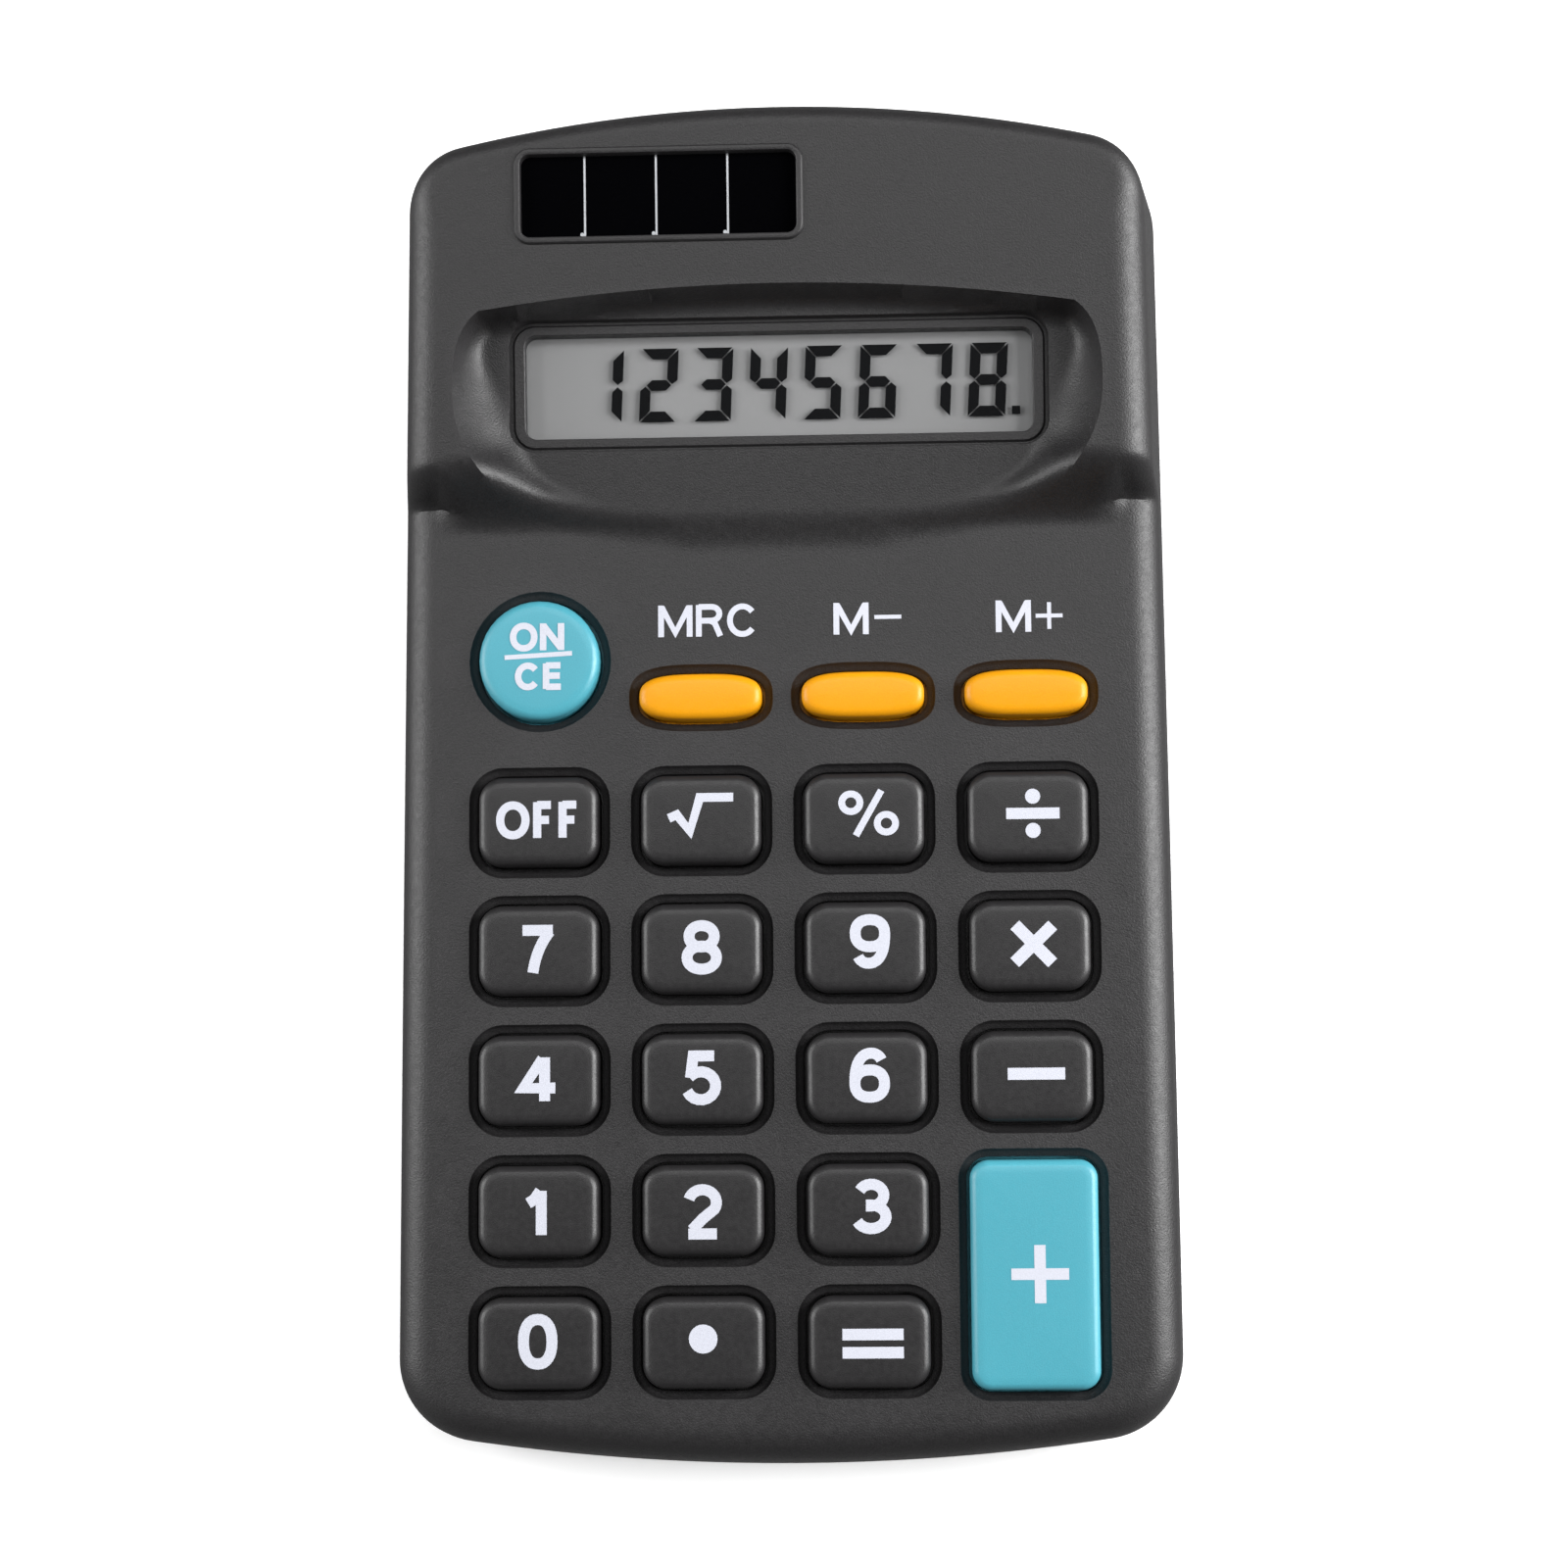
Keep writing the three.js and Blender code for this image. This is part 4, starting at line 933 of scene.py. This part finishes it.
def ribbon(surface, line, width, low, high):
    """A flat stroke along a line, with mitred corners. It is closed if the line's ends meet."""
    line = np.array(line, float)
    steps = np.diff(line, axis=0)
    steps /= np.linalg.norm(steps, axis=1)[:, None]
    across = np.column_stack((-steps[:, 1], steps[:, 0]))
    closed = np.allclose(line[0], line[-1])
    before = np.vstack((across[-1:] if closed else across[:1], across))
    after = np.vstack((across, across[:1] if closed else across[-1:]))
    turn = 1 + (before * after).sum(axis=1)
    reach = (before + after) / np.maximum(turn, 0.5)[:, None] * width / 2
    left, right = line + reach, line - reach
    sections = [np.array([(*a, low), (*a, high), (*b, high), (*b, low)]) for a, b in zip(right, left)]
    surface.sweep(sections, close_first=not closed, close_last=not closed)


def write(surface, text, middle, level, height, weight, squeeze=1.0, gap=0.12):
    """Characters side by side, centred on middle. weight is the strokes' width, gap a share of the height."""
    widths = [GLYPHS[character][0] * height * squeeze for character in text]
    spaces = gap * height * (len(text) - 1)
    left = middle[0] - (sum(widths) + spaces) / 2
    foot = middle[1] - height / 2
    for index, character in enumerate(text):
        for order, line in enumerate(GLYPHS[character][1]):
            top = level + 0.004 * order  # strokes that cross don't share a face
            share = np.array(line)
            x = left + weight / 2 + share[:, 0] * (widths[index] - weight)
            y = foot + weight / 2 + share[:, 1] * (height - weight)
            y = np.clip(y, foot, foot + height)
            ribbon(surface, np.column_stack((x, y)), weight, top - PRINT_THICKNESS, top)
        left += widths[index] + gap * height


def stamp(surface, shapes, level, thickness=PRINT_THICKNESS):
    """Flat shapes, each a closed outline, whose upper faces lie at level."""
    for shape in shapes:
        loop = np.array(shape)
        surface.solid([ring_at(loop, level - thickness), ring_at(loop, level)])


def cross(x, y, size, width, angle):
    """A plus sign as one closed outline."""
    arm, half = size / 2, width / 2
    corners = []
    for quarter in range(4):
        for corner in ((arm, -half), (arm, half), (half, half)):
            corners.append(turned(*corner, angle + 90 * quarter))
    return moved(corners, x, y)


DIGIT_PLACES = {
    "0": (0, 0.2), "1": (-0.25, -0.1), "2": (0, -0.1), "3": (0.3, 0.25), "4": (0, 0.1),
    "5": (0, 0.1), "6": (0.25, 0.2), "7": (0, -0.15), "8": (0.05, 0.1), "9": (0.4, 0.45),
}
CASE_PRINT = (2.9, 0.5)
# What is written on each key: the text, how far its middle is from the key's, and its height, weight,
# squeeze and gap
WRITTEN = {
    **{"key_" + digit: [(digit, *place, 4.6, 0.92)] for digit, place in DIGIT_PLACES.items()},
    "key_off": [("OFF", 0.05, 0.1, 3.25, 0.7, 0.93, 0.09)],
    "key_percent": [("%", 0.4, 0.35, 4.0, 0.58)],
    "key_on_clear": [("ON", -0.1, 1.95, 2.5, 0.56, 1.0, 0.08), ("CE", 0.1, -1.45, 2.4, 0.56, 1.0, 0.1)],
}
SIGNS = {
    "key_point": [disc(0, 0.35, 1.2)],
    "key_equals": [bar(0.3, 0.65, 5.1, 0.95), bar(0.3, -0.85, 5.1, 0.95)],
    "key_minus": [bar(0.35, 0.2, 4.8, 1.0)],
    "key_times": [cross(0.3, 0.1, 4.5, 1.05, 44)],
    "key_plus": [cross(0.4, 0.05, 4.8, 0.95, 0)],
    "key_divide": [bar(0.4, 0.15, 4.5, 0.95), disc(0.4, 1.6, 0.64), disc(0.4, -1.3, 0.64)],
    "key_on_clear": [bar(0, 0.35, 5.8, 0.4, 3)],
}
ROOT_SIGN = [(-2.7, 0.1), (-2.0, 0.4), (-0.9, -1.0), (-0.05, 1.85), (2.8, 1.85)]


def key_legends():
    for node in KEY_NODES:
        if node in MEMORY_KEYS:
            continue
        (x, y), _, _ = key_plan(node)
        surface = Surface()
        for text, across, up, *print_form in WRITTEN.get(node, []):
            write(surface, text, (x + across, y + up), PRINT_LEVEL, *print_form)
        stamp(surface, [moved(shape, x, y) for shape in SIGNS.get(node, [])], PRINT_LEVEL)
        if node == "key_root":
            ribbon(surface, moved(ROOT_SIGN, x, y), 0.75, PRINT_LEVEL - PRINT_THICKNESS, PRINT_LEVEL)
        mesh_piece("legend_" + node.removeprefix("key_"), surface.points, surface.faces, node, INK, sharp=30)


def case_legends():
    """The memory keys' names, printed on the deck above them."""
    level = DECK + 0.02
    surface = Surface()
    for node, text in zip(MEMORY_KEYS, ("MRC", "M", "M")):
        (x, y), _, _ = key_plan(node)
        line = y + 6.65
        if text == "MRC":
            write(surface, text, (x + 0.6, line), level, *CASE_PRINT, 0.98, 0.1)
        else:
            write(surface, text, (x - 0.95, line), level, *CASE_PRINT)
        if node == "key_memory_minus":
            stamp(surface, [bar(x + 2.2, line + 0.1, 2.3, 0.34)], level)
        if node == "key_memory_plus":
            stamp(surface, [cross(x + 2.1, line, 2.3, 0.34, 0)], level)
    mesh_piece("legend_memory", surface.points, surface.faces, "housing", INK, sharp=30)


key_legends()
case_legends()


# ---- display

PANEL_LOW, PANEL_HIGH = span("display_panel")
PANEL_DEPTH = 1.64  # of the panel's face below the scooped face
SHADOW_GAP = 0.35  # between the segments and the reflector behind them
SEGMENT_THICKNESS = 0.05
SEGMENT_GAP = 0.09
DIGIT_LEAN = math.tan(math.radians(3))

SEGMENTS = {
    "1": "bc", "2": "abged", "3": "abgcd", "4": "fgbc",
    "5": "afgcd", "6": "afgedc", "7": "abc", "8": "abcdefg",
}


def segment_shapes(digit, left, foot):
    """The lit bars of one digit, with mitred ends and hairline gaps. The digit leans a little."""
    wide, tall, thick = DIGIT_WIDTH, DIGIT_HEIGHT, DIGIT_STROKE
    half, gap, mid = thick / 2, SEGMENT_GAP, tall / 2
    near, far = thick + gap, wide - thick - gap
    shapes = {
        "a": [(gap, tall), (wide - gap, tall), (far, tall - thick), (near, tall - thick)],
        "d": [(gap, 0), (near, thick), (far, thick), (wide - gap, 0)],
        "g": [
            (half + gap, mid), (near, mid + half), (far, mid + half),
            (wide - half - gap, mid), (far, mid - half), (near, mid - half),
        ],
        "f": [
            (0, tall - gap), (thick, tall - thick - gap), (thick, mid + half + gap),
            (half, mid + gap), (0, mid + half),
        ],
        "e": [(0, gap), (0, mid - half), (half, mid - gap), (thick, mid - half - gap), (thick, thick + gap)],
    }
    for right, source in (("b", "f"), ("c", "e")):
        shapes[right] = [(wide - x, y) for x, y in shapes[source]][::-1]
    lit = [shapes[segment] for segment in SEGMENTS[digit]]
    return [[(left + x + y * DIGIT_LEAN, foot + y) for x, y in shape] for shape in lit]


def on_slope(surface, sunk):
    """Lifts flat points to sunk below the scooped face."""
    points = np.array(surface.points)
    points[:, 2] += scoop_height(points[:, 1]) - sunk
    surface.points = [tuple(point) for point in points]


def display_digits():
    surface = Surface()
    shapes = []
    for index, digit in enumerate("12345678"):
        left = DIGIT_RIGHT - DIGIT_WIDTH - (7 - index) * DIGIT_PITCH
        shapes += segment_shapes(digit, left, DIGIT_FOOT)
    shapes.append(bar(DIGIT_RIGHT + 0.95, DIGIT_FOOT + 0.5, 0.7, 0.7))
    stamp(surface, shapes, SEGMENT_THICKNESS, SEGMENT_THICKNESS)
    on_slope(surface, PANEL_DEPTH + SEGMENT_THICKNESS)
    mesh_piece("display_digits", surface.points, surface.faces, "housing", SEGMENT, sharp=30)


def display_reflector():
    """The panel's rear plate and reflector, which show between the digits."""
    surface = Surface()
    width, height = (PANEL_HIGH - PANEL_LOW)[:2]
    middle = (0, (PANEL_LOW[1] + PANEL_HIGH[1]) / 2)
    rings = []
    for inset, level in ((0.1, -1.55), (0, -1.45), (0, -SHADOW_GAP - 0.1), (0.1, -SHADOW_GAP)):
        loop = rounded_rectangle(width - 2 * inset, height - 2 * inset, 0.3 - inset, side_steps=10)
        rings.append(ring_at(loop + middle, level))
    surface.solid(rings)
    on_slope(surface, PANEL_DEPTH)
    piece = mesh_piece("display_plate", surface.points, surface.faces, "housing", REFLECTOR, sharp=30)
    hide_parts("display_panel")


display_reflector()
display_digits()


# ---- solar cell


def solar_cell():
    """A black glass plate, and the light lines between its four strips with a dot at the foot of each."""
    face = -SOLAR_DEPTH
    surface = Surface()
    width, height = SOLAR_SIZE[0] + 2 * SOLAR_LIP, SOLAR_SIZE[1] + 2 * SOLAR_LIP
    rings = []
    for inset, sunk in ((0.1, face - 1.1), (0, face - 1.0), (0, face - 0.1), (0.1, face)):
        loop = rounded_rectangle(width - 2 * inset, height - 2 * inset, 0.3) + (SOLAR_X, SOLAR_Y)
        rings.append(ring_at(loop, hump_height(loop[:, 1]) + sunk))
    surface.solid(rings)
    plate = mesh_piece("solar_plate", surface.points, surface.faces, "housing", SOLAR_GLASS)
    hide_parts("solar_cell")
    lines = Surface()
    for strip in (-1, 0, 1):
        x = SOLAR_X + STRIP_SHIFT + strip * STRIP_WIDTH
        foot, head = SOLAR_Y - SOLAR_SIZE[1] / 2, SOLAR_Y + SOLAR_SIZE[1] / 2
        for shape in (bar(x, (foot + head) / 2, 0.17, head - foot), disc(x - 0.25, foot + 0.35, 0.17, 12)):
            loop = np.array(shape)
            slope = hump_height(loop[:, 1]) + face
            lines.solid([ring_at(loop, slope - 0.02), ring_at(loop, slope + 0.02)])
    mesh_piece("solar_lines", lines.points, lines.faces, "housing", SOLAR_LINE, sharp=30)


solar_cell()


# ---- rubber mat

BOARD_TOP = span("circuit_board")[1][2]
MAT_LOW, MAT_HIGH = span("keypad_mat")
SHEET_THICKNESS = 0.6


def rubber_mat():
    """The sheet of the keypad mat, and a hollow dome under each key."""
    surface = Surface()
    size = MAT_HIGH - MAT_LOW
    middle = ((MAT_LOW + MAT_HIGH) / 2)[:2]
    top = BOARD_TOP + SHEET_THICKNESS
    rings = [(0.1, BOARD_TOP), (0, BOARD_TOP + 0.1), (0, top - 0.1), (0.1, top)]
    loops = [
        ring_at(rounded_rectangle(size[0] - 2 * inset, size[1] - 2 * inset, 2) + middle, level)
        for inset, level in rings
    ]
    surface.solid(loops)
    sheet = mesh_piece("mat_sheet", surface.points, surface.faces, "housing", RUBBER)
    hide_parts("keypad_mat")
    for node in KEY_NODES:
        rubber_dome(node, top)


def rubber_dome(node, foot):
    middle, _, _ = key_plan(node)
    head = MAT_HIGH[2]
    profile = [
        (3.5, foot - 0.05), (3.3, foot + 0.08), (2.95, foot + 0.3), (2.5, foot + 0.85), (2.1, head - 0.25),
        (1.95, head - 0.08), (1.75, head), (0.9, head), (0.8, head - 0.25), (0.3, head - 0.3),
    ]
    surface = Surface()
    surface.solid([ring_at(disc(*middle, radius, 36), level) for radius, level in profile])
    dome = mesh_piece("dome" + node[3:], surface.points, surface.faces, "housing", RUBBER)
    anchor = in_frame([(*middle, foot - 0.05)])[0]
    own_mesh(dome)


rubber_mat()


# ---- rear case and battery door


DOOR_SIDE = DOOR_HIGH[0]
DOOR_FOOT = DOOR_HINGE["pos_m"][1] / MM - FOOT_EDGE / MM
DOOR_GAP = 0.2
HOOK_X = 16.0
HOOK_HALF_WIDTH = 3.0
CELL_LOW, CELL_HIGH = span("battery_cell")
BAY_HEAD_Y = (CELL_LOW[1] + CELL_HIGH[1]) / 2 + 3
BAY_FOOT_Y = DOOR_FOOT - 0.6
BAY_HALF_WIDTH = 28.55
BAY_WALL = 0.95
BAY_LOW = 0.8  # the bay's walls start inside the floor plate
GRIP_Y = DOOR_FOOT + 10
GRIP_PITCH = 1.1


def shell_parts(inset, low, floor):
    """The tray under the parting line as a closed form, with a rounded back edge and a hollow inside."""
    profile = []
    for step in range(7):
        angle = math.pi / 2 * step / 6
        profile.append((inset + BACK_ROUND * (1 - math.sin(angle)), low + BACK_ROUND * (1 - math.cos(angle))))
    profile += [(inset, PARTING - 0.2), (inset + 0.18, PARTING - 0.02), (inset + WALL, PARTING - 0.02)]
    profile += [(inset + WALL, floor + 0.4), (inset + WALL + 0.4, floor)]
    surface = Surface()
    surface.solid([case_ring(reach, level) for reach, level in profile])
    return surface.points, surface.faces


def rear_case():
    """The back shell: the battery bay's walls, the door's opening, slots for its hooks, and screw wells."""
    piece = mesh_piece("rear_shell", *shell_parts(0, 0, FLOOR_PLATE), "housing", BACK_PLASTIC)
    joins = [box_parts((-BAY_HALF_WIDTH, BAY_FOOT_Y - BAY_WALL, BAY_LOW), (BAY_HALF_WIDTH, BAY_FOOT_Y, 8.2))]
    for left in (-BAY_HALF_WIDTH, BAY_HALF_WIDTH - BAY_WALL):
        joins.append(box_parts((left, BAY_FOOT_Y - 0.5, BAY_LOW), (left + BAY_WALL, BAY_HEAD_Y, 10)))
    cut_with(piece, "UNION", joins)
    door_low = (-DOOR_SIDE - DOOR_GAP, DOOR_FOOT - DOOR_GAP, -1)
    cuts = [box_parts(door_low, (DOOR_SIDE + DOOR_GAP, LENGTH + 2, DOOR_HIGH[2] + DOOR_GAP))]
    slot_half_width = HOOK_HALF_WIDTH + 0.4
    for x in (-HOOK_X, HOOK_X):
        slot_low = (x - slot_half_width, BAY_FOOT_Y - 2.5, FLOOR_PLATE)
        cuts.append(box_parts(slot_low, (x + slot_half_width, BAY_FOOT_Y + 1, 4.4)))
    for node in sorted(frame["nodes"]):
        if node.startswith("case_screw"):
            low, high = span(node)
            cuts.append(cylinder_parts(*(low + high)[:2] / 2, -1, 1.8, 2.0))
    cut_with(piece, "DIFFERENCE", cuts)
    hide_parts("rear_case")


def battery_door():
    """The part of the shell behind the battery, with two hooks at its foot and a grip of five grooves."""
    piece = mesh_piece("door_panel", *shell_parts(0.02, DOOR_LOW[2], 1.35), "battery_door", BACK_PLASTIC)
    region = box_parts((-DOOR_SIDE, DOOR_FOOT, -1), (DOOR_SIDE, LENGTH + 2, DOOR_HIGH[2]))
    cut_with(piece, "INTERSECT", [region])
    hooks = []
    for x in (-HOOK_X, HOOK_X):
        left, right = x - HOOK_HALF_WIDTH, x + HOOK_HALF_WIDTH
        hooks.append(box_parts((left, DOOR_LOW[1], 1.7), (right, DOOR_FOOT + 0.01, 2.5)))
        hooks.append(box_parts((left, DOOR_FOOT, 0.8), (right, DOOR_FOOT + 1.2, 2.5)))
    cut_with(piece, "UNION", hooks)
    grooves = []
    for step in range(-2, 3):
        half_width = 6 - abs(step) * 0.8
        y = GRIP_Y + step * GRIP_PITCH
        grooves.append(box_parts((-half_width, y - 0.25, -1), (half_width, y + 0.25, 0.45)))
    cut_with(piece, "DIFFERENCE", grooves)
    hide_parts("battery_door")


rear_case()
battery_door()


# ---- stage, light and camera


SKY_STRENGTH = (0.14, 0.75)
CAMERA_LENS = 75.8
CAMERA_TURN = (-0.1060, -0.0453, 0.0081)  # in radians about X, Y and Z
CAMERA_X, CAMERA_Y = 12.8, 27.7
CAMERA_RISE = 279.6  # above the deck


def floor_material():
    """White paper as the camera sees it, and grey as the object sees it, so that its low edges stay dark."""
    made = material("floor", (250, 250, 250), 0.8, grain=2, depth=0.0, variation=0.005, glow=0.35)
    tree = made.node_tree
    grey = add_node(tree, "BsdfDiffuse", {"Color": linear((130, 130, 130))})
    shaders = {
        "Fac": add_node(tree, "LightPath", {}).outputs["Is Camera Ray"],
        1: grey.outputs["BSDF"],
        2: tree.nodes["Principled BSDF"].outputs["BSDF"],
    }
    feed(tree.nodes["Material Output"], {"Surface": add_node(tree, "MixShader", shaders).outputs["Shader"]})
    return made


def floor():
    stage = bpy.data.meshes.new("floor")
    reach = 3.0
    corners = [(-reach, -reach, 0), (reach, -reach, 0), (reach, reach, 0), (-reach, reach, 0)]
    stage.from_pydata(corners, [], [(0, 1, 2, 3)])
    piece = link("floor", stage)
    piece.location.z = -0.0002
    stage.materials.append(floor_material())


def light(name, place, target, width, height, power):
    """A soft rectangular lamp at place and turned to target, both in millimetres from the frame's origin."""
    lamp = bpy.data.lights.new(name, "AREA")
    lamp.shape = "RECTANGLE"
    lamp.size = width * MM
    lamp.size_y = height * MM
    lamp.energy = power
    piece = link(name, lamp)
    piece.location = Vector(place) * MM
    piece.rotation_mode = "QUATERNION"
    piece.rotation_quaternion = (Vector(target) - Vector(place)).to_track_quat("-Z", "Y")


def camera():
    """A camera above the lower right of the keys, turned a little towards the head end."""
    lens = bpy.data.cameras.new("camera")
    lens.sensor_width = 36
    lens.lens = CAMERA_LENS
    lens.clip_start, lens.clip_end = 0.01, 10.0
    piece = link("camera", lens)
    about_x, about_y, about_z = [Matrix.Rotation(turn, 3, axis) for turn, axis in zip(CAMERA_TURN, "XYZ")]
    turn = (about_z @ about_x @ about_y).transposed()
    place = in_frame([(CAMERA_X, CAMERA_Y, DECK + CAMERA_RISE)])[0]
    piece.matrix_world = Matrix.Translation(place) @ turn.to_4x4()
    bpy.context.scene.camera = piece


def world():
    """White all round, bright to the left and right and darker towards the head and the foot."""
    sky = bpy.data.worlds.new("studio")
    sky.use_nodes = True
    tree = sky.node_tree
    place = add_node(tree, "TexCoord", {})
    split = add_node(tree, "SeparateXYZ", {"Vector": place.outputs["Generated"]})
    side = add_node(tree, "Math", {0: split.outputs["X"]}, operation="ABSOLUTE")
    square = add_node(tree, "Math", {0: side.outputs["Value"], 1: 2}, operation="POWER")
    limits = {"To Min": SKY_STRENGTH[0], "To Max": SKY_STRENGTH[1], "Value": square.outputs["Value"]}
    strength = add_node(tree, "MapRange", limits)
    feed(tree.nodes["Background"], {"Strength": strength.outputs["Result"], "Color": (1, 1, 1, 1)})
    bpy.context.scene.world = sky


floor()
light("head_softbox", (0, 230, 540), (0, 20, 0), 420, 160, 1.0)
light("left_softbox", (-420, 60, 220), (0, 20, 0), 260, 420, 2.1)
light("right_softbox", (420, 60, 220), (0, 20, 0), 260, 420, 4.9)
world()
camera()
bpy.context.scene.view_settings.view_transform = "Standard"
